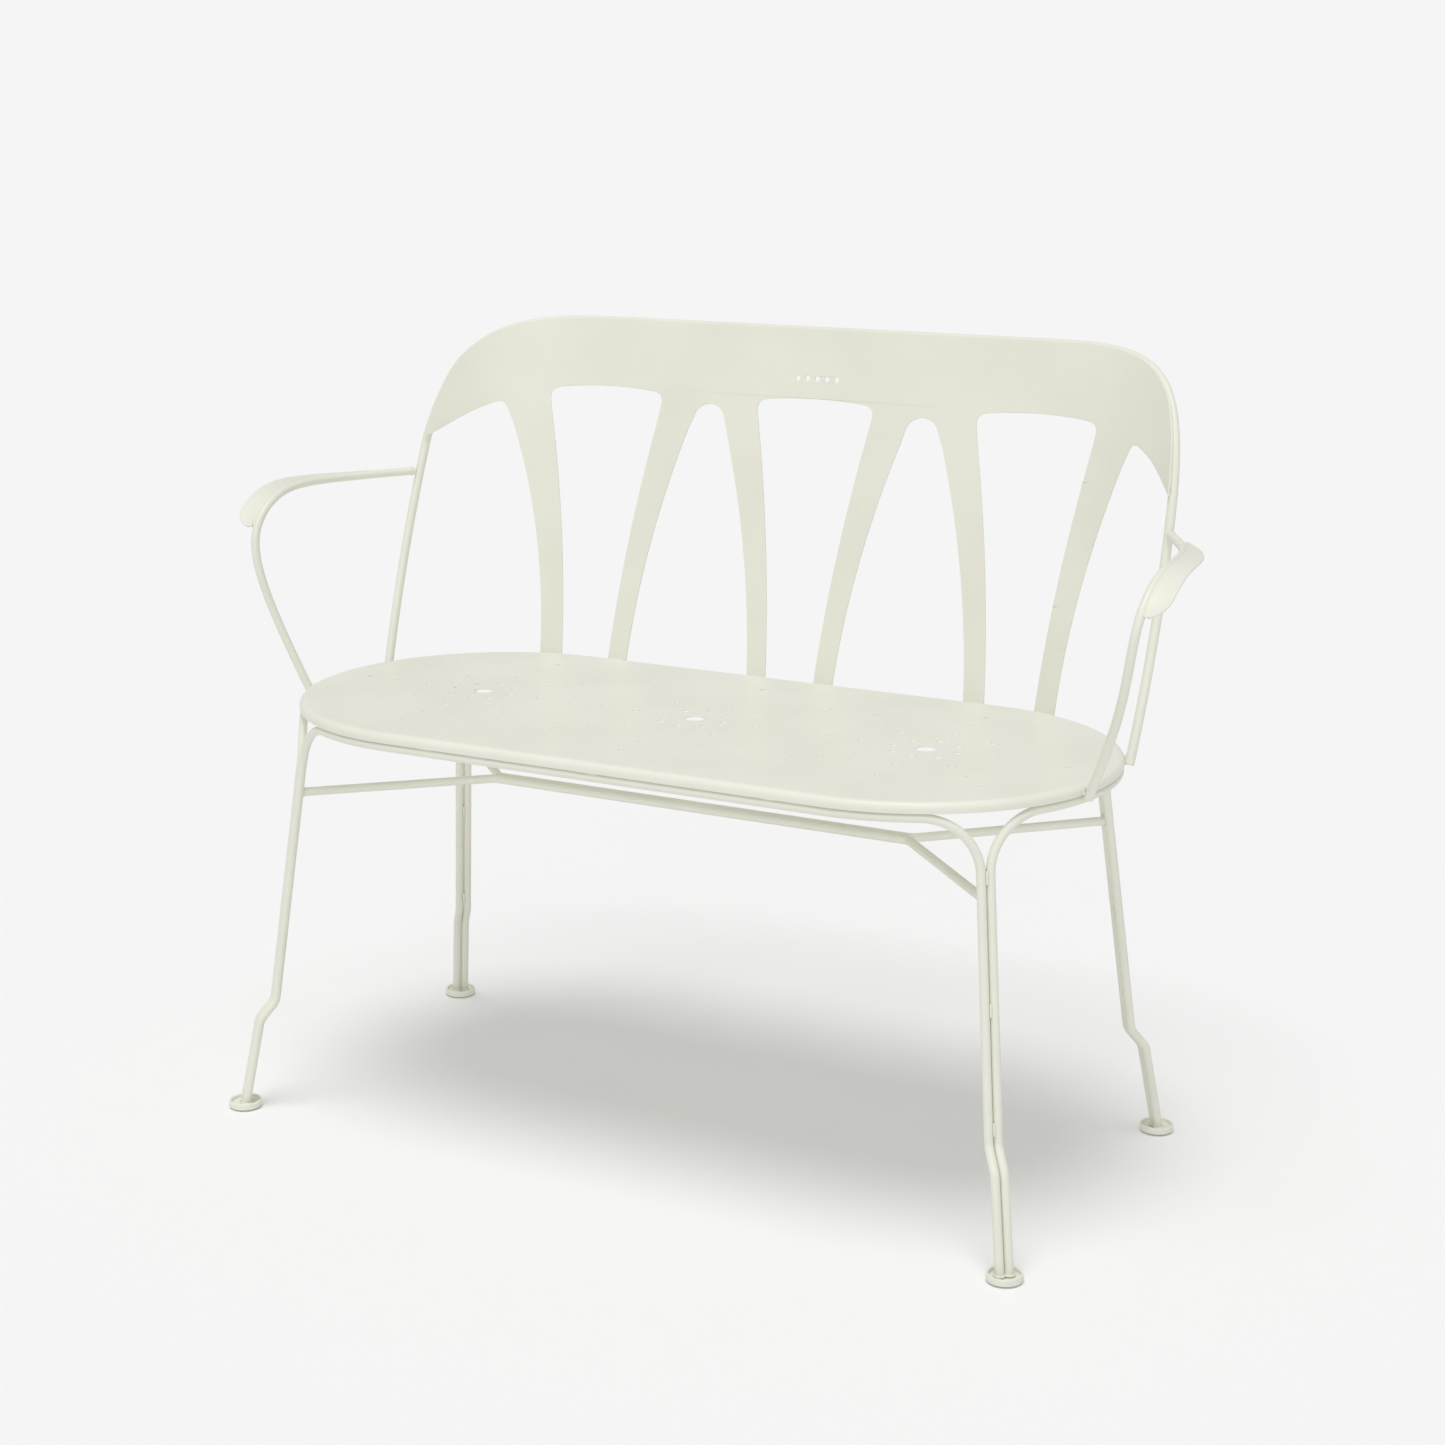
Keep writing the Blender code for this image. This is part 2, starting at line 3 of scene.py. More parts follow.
import bmesh
import bpy
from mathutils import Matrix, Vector


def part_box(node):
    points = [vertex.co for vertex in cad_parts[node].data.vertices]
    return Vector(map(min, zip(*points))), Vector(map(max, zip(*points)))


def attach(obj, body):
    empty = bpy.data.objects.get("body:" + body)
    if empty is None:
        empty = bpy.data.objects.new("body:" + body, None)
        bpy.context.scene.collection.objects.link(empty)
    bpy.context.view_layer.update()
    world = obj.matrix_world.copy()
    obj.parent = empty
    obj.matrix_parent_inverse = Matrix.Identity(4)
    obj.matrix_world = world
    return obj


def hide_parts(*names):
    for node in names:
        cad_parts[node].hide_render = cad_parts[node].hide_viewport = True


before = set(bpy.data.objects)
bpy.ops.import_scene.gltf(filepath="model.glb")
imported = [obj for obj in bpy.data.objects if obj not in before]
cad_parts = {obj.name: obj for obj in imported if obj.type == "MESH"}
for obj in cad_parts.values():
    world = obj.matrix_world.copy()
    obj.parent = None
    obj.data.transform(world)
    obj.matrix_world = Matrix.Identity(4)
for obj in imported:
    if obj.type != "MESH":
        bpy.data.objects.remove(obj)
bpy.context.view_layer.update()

# The seat pan gives the places that everything else is built from.
seatLow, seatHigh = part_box("seat_pan")
seatTop = seatHigh.z
seatRadius = (seatHigh.y - seatLow.y) / 2
middleY = (seatHigh.y + seatLow.y) / 2
endCentreX = seatHigh.x - seatRadius
print(f"frame loaded: seat top {seatTop:.4f} m, round ends {seatRadius:.4f} m")


# Small helpers

def place(point):
    # from the bench's own middle line to the frame
    return Vector((point[0], point[1] + middleY, point[2]))


def mirrored(points, flipX=False, flipY=False):
    # flipY turns the front into the back, about the seat's middle line
    signX = -1 if flipX else 1
    signY = -1 if flipY else 1
    return [Vector((signX * p[0], signY * p[1], p[2])) for p in points]


def spread(count, start=0.0, stop=1.0):
    return [start + (stop - start) * i / (count - 1) for i in range(count)]


def roundedPath(corners, radius, steps=8):
    # turns the inner corners of a path into smooth bends
    corners = [Vector(c) for c in corners]
    path = [corners[0]]
    for before, corner, after in zip(corners, corners[1:], corners[2:]):
        back = (before - corner).normalized()
        ahead = (after - corner).normalized()
        halfTurn = (math.pi - back.angle(ahead)) / 2
        room = 0.48 * min((before - corner).length, (after - corner).length)
        reach = min(radius * math.tan(halfTurn), room)
        for t in spread(steps + 1):
            path.append((corner + back * reach) * (1 - t) ** 2 + corner * (2 * t * (1 - t))
                        + (corner + ahead * reach) * t ** 2)
    path.append(corners[-1])
    return path


def splinePath(controls, shares):
    # points of a clamped uniform cubic B-spline at shares between 0 and 1
    controls = [Vector(c) for c in controls]
    spans = len(controls) - 3
    knots = [0] * 3 + list(range(spans + 1)) + [spans] * 3
    path = []
    for share in shares:
        u = min(max(share, 0.0), 1.0) * spans
        span = min(int(u), spans - 1) + 3
        work = [controls[span - 3 + j] for j in range(4)]
        for level in range(1, 4):
            for j in range(3, level - 1, -1):
                low = knots[span - 3 + j]
                high = knots[span + 1 + j - level]
                blend = (u - low) / (high - low)
                work[j] = work[j - 1] * (1 - blend) + work[j] * blend
        path.append(work[3])
    return path


def pathCurve(name, paths, cyclic=False):
    # one curve object with a straight-segment spline for each path
    curve = bpy.data.curves.new(name, "CURVE")
    curve.dimensions = "3D"
    for points in paths:
        spline = curve.splines.new("POLY")
        spline.points.add(len(points) - 1)
        spline.use_cyclic_u = cyclic
        for slot, point in zip(spline.points, points):
            slot.co = (*point, 1.0)
    guide = bpy.data.objects.new(name, curve)
    bpy.context.scene.collection.objects.link(guide)
    return guide


def meshObject(name, bm, material, smoothAngle=35):
    mesh = bpy.data.meshes.new(name)
    bm.to_mesh(mesh)
    bm.free()
    mesh.shade_smooth()
    mesh.set_sharp_from_angle(angle=math.radians(smoothAngle))
    mesh.materials.append(material)
    made = bpy.data.objects.new(name, mesh)
    bpy.context.scene.collection.objects.link(made)
    return made


def evaluatedShape(source):
    # what the source and its modifiers make, as a bmesh; the source goes
    bpy.context.view_layer.update()
    evaluated = source.evaluated_get(bpy.context.evaluated_depsgraph_get())
    mesh = bpy.data.meshes.new_from_object(evaluated)
    bpy.data.objects.remove(source, do_unlink=True)
    bm = bmesh.new()
    bm.from_mesh(mesh)
    bpy.data.meshes.remove(mesh)
    return bm


def baked(source, name, material, smoothAngle=35, weld=0.00001):
    bm = evaluatedShape(source)
    if weld:
        bmesh.ops.remove_doubles(bm, verts=bm.verts, dist=weld)
    return meshObject(name, bm, material, smoothAngle)


def evenShading(piece):
    # large faces keep their own direction beside small rounded edges
    weighted = piece.modifiers.new("weighted", "WEIGHTED_NORMAL")
    weighted.keep_sharp = True
    weighted.weight = 60


def thickened(piece, material, sheet, edgeRound, segments):
    # the modelled face gets a sheet's thickness behind it, then soft edges
    name = piece.name
    wall = piece.modifiers.new("wall", "SOLIDIFY")
    wall.thickness = sheet
    wall.offset = -1.0
    wall.use_even_offset = True
    edge = piece.modifiers.new("edge", "BEVEL")
    edge.width = edgeRound
    edge.segments = segments
    edge.limit_method = "ANGLE"
    edge.angle_limit = math.radians(50)
    edge.use_clamp_overlap = False
    piece = baked(piece, name, material, smoothAngle=40, weld=0)
    evenShading(piece)
    return piece


def hand(piece, replaced=()):
    # every piece rides on the one welded body
    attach(piece, "root")
    if replaced:
        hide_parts(*replaced)
    return piece


class Tree:
    # a node tree with a short way to add and link nodes

    def __init__(self, name, inputs):
        self.tree = bpy.data.node_groups.new(name, "GeometryNodeTree")
        self.tree.is_modifier = True
        face = self.tree.interface
        face.new_socket("Geometry", in_out="INPUT", socket_type="NodeSocketGeometry")
        for label, kind, value in inputs:
            socket = face.new_socket(label, in_out="INPUT", socket_type="NodeSocket" + kind)
            if value is not None:
                socket.default_value = value
        face.new_socket("Geometry", in_out="OUTPUT", socket_type="NodeSocketGeometry")
        self.entry = self.tree.nodes.new("NodeGroupInput")
        self.exit = self.tree.nodes.new("NodeGroupOutput")

    def add(self, kind, settings=None, **inputs):
        # an input's name has _ for a space; a value is a number, a socket or a list of sockets
        node = self.tree.nodes.new(kind)
        for key, value in (settings or {}).items():
            setattr(node, key, value)
        for key, value in inputs.items():
            label = key.replace("_", " ").strip()
            socket = node.inputs[int(label[1:])] if label[1:].isdigit() else node.inputs[label]
            for item in value if isinstance(value, list) else [value]:
                if isinstance(item, bpy.types.NodeSocket):
                    self.tree.links.new(item, socket)
                else:
                    socket.default_value = item
        return node.outputs[0]

    def math(self, operation, first, second=0.0):
        return self.add("ShaderNodeMath", {"operation": operation}, i0=first, i1=second)

    def finish(self, geometry, material):
        # every tree ends in real geometry with its material
        real = self.add("GeometryNodeRealizeInstances", Geometry=geometry)
        done = self.add("GeometryNodeSetMaterial", Geometry=real, Material=material)
        self.tree.links.new(done, self.exit.inputs[0])
        return self.tree


def withTree(source, tree, values):
    # puts the tree on an object and sets its named inputs
    modifier = source.modifiers.new(tree.name, "NODES")
    modifier.node_group = tree
    for item in tree.interface.items_tree:
        if item.item_type == "SOCKET" and item.in_out == "INPUT" and item.name in values:
            modifier[item.identifier] = values[item.name]
    return source


# Materials

coat = {
    "colour": (0.798, 0.794, 0.700),        # cream with a touch of green
    "deeper": (0.762, 0.759, 0.664),
    "mottleScale": 9.0,
    "glossScale": 38.0,
    "peelScale": 620.0,                     # orange peel of sprayed powder
    "peelDepth": 0.0004,
    "fineScale": 2600.0,
    "fineDepth": 0.0001,
    "roughness": (0.40, 0.50),
    "coat": 0.12,
    "coatRoughness": 0.35,
}

plastic = {
    "colour": (0.60, 0.60, 0.54),
    "deeper": (0.52, 0.52, 0.46),
    "flowScale": 140.0,
    "scuffScale": 900.0,
    "scuffDepth": 0.0002,
    "roughness": (0.5, 0.7),
}


def shaderNode(material, kind, **inputs):
    node = material.node_tree.nodes.new(kind)
    for key, value in inputs.items():
        socket = node.inputs[key.replace("_", " ")]
        if isinstance(value, bpy.types.NodeSocket):
            material.node_tree.links.new(value, socket)
        else:
            socket.default_value = value
    return node


def colourRamp(material, factor, stops):
    ramp = shaderNode(material, "ShaderNodeValToRGB", Fac=factor)
    elements = ramp.color_ramp.elements
    while len(elements) < len(stops):
        elements.new(0.5)
    for element, (position, colour) in zip(elements, stops):
        element.position = position
        element.color = (*colour, 1.0)
    return ramp.outputs["Color"]


def noise(material, spot, scale, detail):
    return shaderNode(material, "ShaderNodeTexNoise", Vector=spot, Scale=scale, Detail=detail)


def between(material, texture, limits):
    # a texture's grey spread between two values
    reach = shaderNode(material, "ShaderNodeMapRange", Value=texture.outputs["Fac"])
    reach.inputs["To Min"].default_value = limits[0]
    reach.inputs["To Max"].default_value = limits[1]
    return reach.outputs["Result"]


def powderCoat(name, peelStrength, tone=1.0):
    material = bpy.data.materials.new(name)
    material.use_nodes = True
    shader = material.node_tree.nodes["Principled BSDF"]
    links = material.node_tree.links
    spot = shaderNode(material, "ShaderNodeTexCoord").outputs["Object"]
    mottle = noise(material, spot, coat["mottleScale"], 4.0)
    light = tuple(c * tone for c in coat["colour"])
    deep = tuple(c * tone for c in coat["deeper"])
    colour = colourRamp(material, mottle.outputs["Fac"], [(0.30, deep), (0.62, light)])
    links.new(colour, shader.inputs["Base Color"])

    patches = noise(material, spot, coat["glossScale"], 3.0)
    links.new(between(material, patches, coat["roughness"]), shader.inputs["Roughness"])

    peel = noise(material, spot, coat["peelScale"], 2.0)
    fine = noise(material, spot, coat["fineScale"], 1.0)
    waves = shaderNode(material, "ShaderNodeBump", Height=peel.outputs["Fac"], Strength=peelStrength,
                       Distance=coat["peelDepth"])
    grain = shaderNode(material, "ShaderNodeBump", Height=fine.outputs["Fac"], Strength=peelStrength * 0.5,
                       Distance=coat["fineDepth"], Normal=waves.outputs["Normal"])
    links.new(grain.outputs["Normal"], shader.inputs["Normal"])
    shader.inputs["Coat Weight"].default_value = coat["coat"]
    shader.inputs["Coat Roughness"].default_value = coat["coatRoughness"]
    return material


def glidePlastic(name):
    material = bpy.data.materials.new(name)
    material.use_nodes = True
    shader = material.node_tree.nodes["Principled BSDF"]
    links = material.node_tree.links
    spot = shaderNode(material, "ShaderNodeTexCoord").outputs["Object"]
    flow = noise(material, spot, plastic["flowScale"], 3.0)
    stops = [(0.3, plastic["deeper"]), (0.7, plastic["colour"])]
    links.new(colourRamp(material, flow.outputs["Fac"], stops), shader.inputs["Base Color"])
    scuffs = noise(material, spot, plastic["scuffScale"], 2.0)
    links.new(between(material, scuffs, plastic["roughness"]), shader.inputs["Roughness"])
    bump = shaderNode(material, "ShaderNodeBump", Height=scuffs.outputs["Fac"], Strength=0.15,
                      Distance=plastic["scuffDepth"])
    links.new(bump.outputs["Normal"], shader.inputs["Normal"])
    return material


sheetCoat = powderCoat("sheet powder coat", 0.10)
rodCoat = powderCoat("rod powder coat", 0.08, tone=0.99)
weldCoat = powderCoat("weld powder coat", 0.30, tone=0.97)
footPlastic = glidePlastic("glide plastic")
print("materials ready")


# Trees for what follows a path or repeats

def sweptRodTree():
    # a round bar along each path, with flat filled ends
    tree = Tree("swept rod", [
        ("Radius", "Float", 0.005),
        ("Sides", "Int", 24),
        ("Material", "Material", None),
    ])
    entry = tree.entry.outputs
    section = tree.add("GeometryNodeCurvePrimitiveCircle", Resolution=entry["Sides"],
                       Radius=entry["Radius"])
    bar = tree.add("GeometryNodeCurveToMesh", Curve=entry["Geometry"], Profile_Curve=section,
                   Fill_Caps=True)
    return tree.finish(bar, entry["Material"])


def weldBeadTree():
    # a bead whose overlapping puddles give it ripples, thinner at its ends
    tree = Tree("weld bead", [
        ("Bead radius", "Float", 0.0014),
        ("Step", "Float", 0.0005),
        ("Ripple pitch", "Float", 0.0022),
        ("Ripple depth", "Float", 0.10),
        ("Taper", "Float", 1.0),
        ("Seed", "Int", 7),
        ("Material", "Material", None),
    ])
    entry = tree.entry.outputs
    line = tree.add("GeometryNodeResampleCurve", {"mode": "LENGTH"}, Curve=entry["Geometry"],
                    Length=entry["Step"])
    walk = tree.tree.nodes.new("GeometryNodeSplineParameter")
    turns = tree.math("DIVIDE", walk.outputs["Length"], entry["Ripple pitch"])
    phase = tree.math("FRACT", turns)
    puddle = tree.math("POWER", phase, 0.6)
    ripple = tree.math("MULTIPLY", tree.math("SUBTRACT", puddle, 0.6), entry["Ripple depth"])
    jitter = tree.add("FunctionNodeRandomValue", {"data_type": "FLOAT"})
    random = jitter.node
    random.inputs[2].default_value = -0.05
    random.inputs[3].default_value = 0.05
    tree.tree.links.new(tree.math("FLOOR", turns), random.inputs["ID"])
    tree.tree.links.new(entry["Seed"], random.inputs["Seed"])
    wave = tree.math("ADD", ripple, random.outputs[1])
    # the ends close in a half round
    doubled = tree.math("MULTIPLY", walk.outputs["Factor"], 2.0)
    fromMiddle = tree.math("ABSOLUTE", tree.math("SUBTRACT", doubled, 1.0))
    ended = tree.math("MULTIPLY", tree.math("POWER", fromMiddle, 8.0), entry["Taper"])
    closing = tree.math("SQRT", tree.math("SUBTRACT", 1.001, ended))
    size = tree.math("MULTIPLY", tree.math("ADD", 1.0, wave), closing)
    sized = tree.add("GeometryNodeSetCurveRadius", Curve=line, Radius=size)
    section = tree.add("GeometryNodeCurvePrimitiveCircle", Resolution=10, Radius=entry["Bead radius"])
    bead = tree.add("GeometryNodeCurveToMesh", Curve=sized, Profile_Curve=section, Scale=size,
                    Fill_Caps=True)
    return tree.finish(bead, entry["Material"])


def perforatedPanTree(rings, hubRadius, hubSides, topZ):
    # fills a closed outline with a sheet and leaves a star of rimmed holes at each star centre
    tree = Tree("perforated pan", [
        ("Sheet", "Float", 0.002),
        ("Star pitch", "Float", 0.2686),
        ("Stars", "Int", 3),
        ("Rays", "Int", 8),
        ("Rim softness", "Float", 0.0003),
        ("Material", "Material", None),
    ])
    entry = tree.entry.outputs
    thickness = entry["Sheet"]
    soft = entry["Rim softness"]
    pitch = entry["Star pitch"]
    stepAlong = tree.add("ShaderNodeCombineXYZ", X=pitch)
    halfRow = tree.math("MULTIPLY", tree.math("SUBTRACT", entry["Stars"], 1.0), -0.5)
    start = tree.add("ShaderNodeCombineXYZ", X=tree.math("MULTIPLY", halfRow, pitch))
    starCentres = tree.add("GeometryNodeMeshLine", {"mode": "OFFSET"}, Count=entry["Stars"],
                           Start_Location=start, Offset=stepAlong)
    where = tree.add("GeometryNodeInputPosition")
    split = tree.add("ShaderNodeSeparateXYZ", Vector=where).node
    onAxis = tree.math("LESS_THAN", tree.math("ABSOLUTE", split.outputs["Y"]), 0.001)
    inside = tree.math("LESS_THAN", tree.math("ABSOLUTE", split.outputs["X"]), pitch)
    onRow = tree.math("MULTIPLY", onAxis, inside)
    outlines = []
    rims = []
    for distance, radius, sides in [(0.0, hubRadius, hubSides), *rings]:
        if distance:
            ray = tree.add("GeometryNodeMeshCircle", Vertices=entry["Rays"], Radius=distance)
            onStars = tree.add("GeometryNodeInstanceOnPoints", Points=starCentres, Instance=ray)
            points = tree.add("GeometryNodeRealizeInstances", Geometry=onStars)
            far = tree.math("GREATER_THAN", distance, tree.math("MULTIPLY", pitch, 0.5))
            shared = tree.math("MULTIPLY", onRow, far)
            points = tree.add("GeometryNodeDeleteGeometry", Geometry=points, Selection=shared)
        else:
            points = starCentres
        wide = tree.math("ADD", radius, soft)
        ring = tree.add("GeometryNodeCurvePrimitiveCircle", Resolution=sides, Radius=wide)
        outlines.append(tree.add("GeometryNodeInstanceOnPoints", Points=points, Instance=ring))
        rims.append(tree.add("GeometryNodeInstanceOnPoints", Points=points,
                             Instance=holeRim(tree, radius, sides, thickness, soft)))
    joined = tree.add("GeometryNodeJoinGeometry", Geometry=outlines)
    holes = tree.add("GeometryNodeRealizeInstances", Geometry=joined)
    allLines = tree.add("GeometryNodeJoinGeometry", Geometry=[entry["Geometry"], holes])
    flat = tree.add("GeometryNodeFillCurve", {"mode": "TRIANGLES"}, Curve=allLines)
    top = tree.add("GeometryNodeTransform", Geometry=flat, Translation=(0, 0, topZ))
    down = tree.add("ShaderNodeCombineXYZ", Z=tree.math("SUBTRACT", topZ, thickness))
    lowered = tree.add("GeometryNodeTransform", Geometry=flat, Translation=down)
    under = tree.add("GeometryNodeFlipFaces", Mesh=lowered)
    halfSheet = tree.math("MULTIPLY", thickness, 0.5)
    middle = tree.add("ShaderNodeCombineXYZ", Z=tree.math("SUBTRACT", topZ, halfSheet))
    joined = tree.add("GeometryNodeJoinGeometry", Geometry=rims)
    walls = tree.add("GeometryNodeRealizeInstances", Geometry=joined)
    walls = tree.add("GeometryNodeTransform", Geometry=walls, Translation=middle)
    pan = tree.add("GeometryNodeJoinGeometry", Geometry=[top, under, walls])
    return tree.finish(pan, entry["Material"])


def holeRim(tree, radius, sides, thickness, soft):
    # the wall of a hole: straight in the middle, opening out softly at both faces
    wall = tree.add("GeometryNodeMeshCylinder", {"fill_type": "NONE"}, Vertices=sides, Side_Segments=8,
                    Radius=radius, Depth=thickness)
    here = tree.add("GeometryNodeInputPosition")
    split = tree.add("ShaderNodeSeparateXYZ", Vector=here).node
    height = tree.math("ABSOLUTE", split.outputs["Z"])
    straight = tree.math("SUBTRACT", tree.math("MULTIPLY", thickness, 0.5), soft)
    past = tree.math("DIVIDE", tree.math("SUBTRACT", height, straight), soft)
    past = tree.math("MINIMUM", tree.math("MAXIMUM", past, 0.0), 1.0)
    level = tree.math("SUBTRACT", 1.0, tree.math("MULTIPLY", past, past))
    bow = tree.math("SUBTRACT", 1.0, tree.math("SQRT", level))
    grow = tree.math("ADD", 1.0, tree.math("DIVIDE", tree.math("MULTIPLY", bow, soft), radius))
    widened = tree.add("ShaderNodeCombineXYZ", X=tree.math("MULTIPLY", split.outputs["X"], grow),
                      Y=tree.math("MULTIPLY", split.outputs["Y"], grow), Z=split.outputs["Z"])
    shaped = tree.add("GeometryNodeSetPosition", Geometry=wall, Position=widened)
    return tree.add("GeometryNodeFlipFaces", Mesh=shaped)


rodTree = sweptRodTree()
beadTree = weldBeadTree()


def rod(name, path, radius, replaced, sides=24):
    # a bent bar along a path given about the bench's own middle line
    guide = pathCurve(name + "Path", [[place(p) for p in path]])
    withTree(guide, rodTree, {"Radius": radius, "Sides": sides, "Material": rodCoat})
    return hand(baked(guide, name, rodCoat), replaced=replaced)


def beads(name, paths, radius, cyclic=False):
    # a group of weld beads of one size
    guide = pathCurve(name + "Path", [[place(p) for p in path] for path in paths], cyclic)
    values = {"Bead radius": radius, "Taper": 0.0 if cyclic else 1.0, "Material": weldCoat}
    withTree(guide, beadTree, values)
    return hand(baked(guide, name, weldCoat))


# Seat pan

seat = {
    "sheet": 0.0012,
    "lipDepth": 0.0108,
    "lipRound": 0.0070,
    "flatMargin": 0.0015,           # flat strip beside the roll
    "edgeRound": 0.0004,            # softness of the sheet's bottom edge
    "holeSoftness": 0.00025,
    "endSteps": 96,
    "stars": 3,
    "rays": 8,
    "starPitch": 0.2686,
    "hubRadius": 0.0100,
    "hubSides": 48,
    # distance from the hub, hole radius and sides of each ring of holes
    "rings": [(0.0355, 0.0042, 28), (0.0730, 0.0037, 24), (0.1140, 0.0031, 20), (0.1530, 0.0031, 20)],
}


def stadium(radius, z):
    points = []
    for side in (1, -1):
        for turn in spread(seat["endSteps"] + 1, 0.0, math.pi):
            x = side * (endCentreX + radius * math.sin(turn))
            points.append((x, -side * radius * math.cos(turn), z))
    return points


def lipProfile():
    # (inset from the outer edge, depth below the top) from the flat top round to the flat underside
    outer = seat["lipRound"]
    inner = outer - seat["sheet"]
    depth = seat["lipDepth"]
    soft = seat["edgeRound"]
    profile = [(outer + seat["flatMargin"], 0.0)]
    for turn in spread(13, 0.0, math.pi / 2):
        profile.append((outer - outer * math.sin(turn), outer - outer * math.cos(turn)))
    for turn in spread(4, 0.0, math.pi / 2):
        profile.append((soft - soft * math.cos(turn), depth - soft + soft * math.sin(turn)))
    for turn in spread(4, 0.0, math.pi / 2):
        profile.append((seat["sheet"] - soft + soft * math.sin(turn), depth - soft + soft * math.cos(turn)))
    for turn in spread(9, math.pi / 2, 0.0):
        profile.append((outer - inner * math.sin(turn), outer - inner * math.cos(turn)))
    profile.append((outer + seat["flatMargin"], seat["sheet"]))
    return profile


def buildSeat():
    flatRadius = seatRadius - seat["lipRound"] - seat["flatMargin"]
    guide = pathCurve("seatOutline", [stadium(flatRadius, 0.0)], cyclic=True)
    tree = perforatedPanTree(seat["rings"], seat["hubRadius"], seat["hubSides"], seatTop)
    values = {"Sheet": seat["sheet"], "Star pitch": seat["starPitch"], "Stars": seat["stars"],
              "Rays": seat["rays"], "Rim softness": seat["holeSoftness"], "Material": sheetCoat}
    bm = evaluatedShape(withTree(guide, tree, values))
    rows = []
    for inset, depth in lipProfile():
        rows.append([bm.verts.new(p) for p in stadium(seatRadius - inset, seatTop - depth)])
    for upper, lower in zip(rows, rows[1:]):
        for i in range(len(upper)):
            j = (i + 1) % len(upper)
            bm.faces.new((upper[i], lower[i], lower[j], upper[j]))
    bmesh.ops.remove_doubles(bm, verts=bm.verts, dist=0.00002)
    bmesh.ops.translate(bm, verts=bm.verts, vec=(0, middleY, 0))
    bmesh.ops.recalc_face_normals(bm, faces=bm.faces)
    pan = meshObject("seatPan", bm, sheetCoat, smoothAngle=32)
    evenShading(pan)
    return hand(pan, replaced=["seat_pan"])


buildSeat()
print("seat pan made")


# Rails and legs

footLow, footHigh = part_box("front_right_foot")
footPlace = (footLow + footHigh) / 2
footOffset = Vector((footPlace.x - endCentreX, middleY - footPlace.y, 0))
legAngle = math.atan2(footOffset.x, footOffset.y)

leg = {
    "radius": 0.00465,
    "between": 0.0096,              # from one rod's middle to its twin's
    "railRadius": seatRadius - 0.0050,
    "railZ": seatTop - seat["lipDepth"] - 0.0003 - 0.00465,     # a hair below the lip
    "flare": 0.1475,
    "bendWidth": 0.058,
    "bendHeight": 0.055,
    "upperKneeZ": 0.1215,
    "lowerKneeZ": 0.1005,
    "kneeReach": 0.0178,
    "footFlare": 0.2050,
    "kneeBend": 0.018,
    "endZ": 0.0062,
}


def roundEnd(bearing, distance, z):
    # bearing 0 points to the front, a right angle points along +X
    return Vector((endCentreX + distance * math.sin(bearing), -distance * math.cos(bearing), z))


def legReach(z):
    return leg["railRadius"] + leg["flare"] * (leg["railZ"] - z)


def legSide(side):
    # the front right leg's rod on one side of the pair, from its foot to its bend
    along = Vector((math.cos(legAngle), math.sin(legAngle), 0)) * side * leg["between"] / 2
    knee = legReach(leg["upperKneeZ"]) + leg["kneeReach"]
    bendZ = leg["railZ"] - leg["bendHeight"]
    heights = (
        (knee + leg["footFlare"] * (leg["lowerKneeZ"] - leg["endZ"]), leg["endZ"]),
        (knee, leg["lowerKneeZ"]),
        (legReach(leg["upperKneeZ"]), leg["upperKneeZ"]),
        (legReach(bendZ), bendZ),
    )
    corners = [roundEnd(legAngle, distance, z) + along for distance, z in heights]
    return roundedPath(corners, leg["kneeBend"])


def topBend(side, steps=24):
    path = []
    for turn in spread(steps + 1, 0.0, math.pi / 2)[1:]:
        z = leg["railZ"] - leg["bendHeight"] * (1 - math.sin(turn))
        travel = leg["between"] / 2 + leg["bendWidth"] * (1 - math.cos(turn))
        path.append(roundEnd(legAngle + side * travel / legReach(z), legReach(z), z))
    return path


def longRod():
    # left foot, front rail, right foot
    half = legSide(-1) + topBend(-1)
    bendEnd = legAngle - (leg["between"] / 2 + leg["bendWidth"]) / leg["railRadius"]
    half += [roundEnd(bendEnd * (1 - t), leg["railRadius"], leg["railZ"]) for t in spread(15)[1:]]
    return half + mirrored(reversed(half), flipX=True)


def shortRod():
    # front foot, rail round the right end, rear foot
    half = legSide(1) + topBend(1)
    bendEnd = legAngle + (leg["between"] / 2 + leg["bendWidth"]) / leg["railRadius"]
    quarter = math.pi / 2
    half += [roundEnd(bendEnd + (quarter - bendEnd) * t, leg["railRadius"], leg["railZ"])
             for t in spread(15)[1:-1]]
    middle = [roundEnd(quarter, leg["railRadius"], leg["railZ"])]
    return half + middle + mirrored(reversed(half), flipY=True)


rod("frontRodFrame", longRod(), leg["radius"], ["front_rail_and_legs"])
rod("rearRodFrame", mirrored(longRod(), flipY=True), leg["radius"], ["rear_rail_and_legs"])
rod("rightRodFrame", shortRod(), leg["radius"], ["right_rail_and_legs"])
rod("leftRodFrame", mirrored(shortRod(), flipX=True), leg["radius"], ["left_rail_and_legs"])
print("rails and legs made")


# Cross brace

brace = {
    "radius": 0.00465,
    "z": 0.3550,
    "endZ": 0.3560,
    "bend": 0.012,
    "clearance": 0.0003,
}


def braceRod():
    endReach = legReach(brace["endZ"]) - leg["radius"] - 2 * brace["clearance"]
    legEnd = roundEnd(legAngle, endReach, brace["endZ"])
    node = Vector((endCentreX, -(brace["radius"] + brace["clearance"] / 2), brace["z"]))
    return roundedPath([legEnd, node, *mirrored([node, legEnd], flipX=True)], brace["bend"])


rod("frontBraceRod", braceRod(), brace["radius"], ["front_brace_rod"])
rod("rearBraceRod", mirrored(braceRod(), flipY=True), brace["radius"], ["rear_brace_rod"])
print("cross brace made")


# Feet

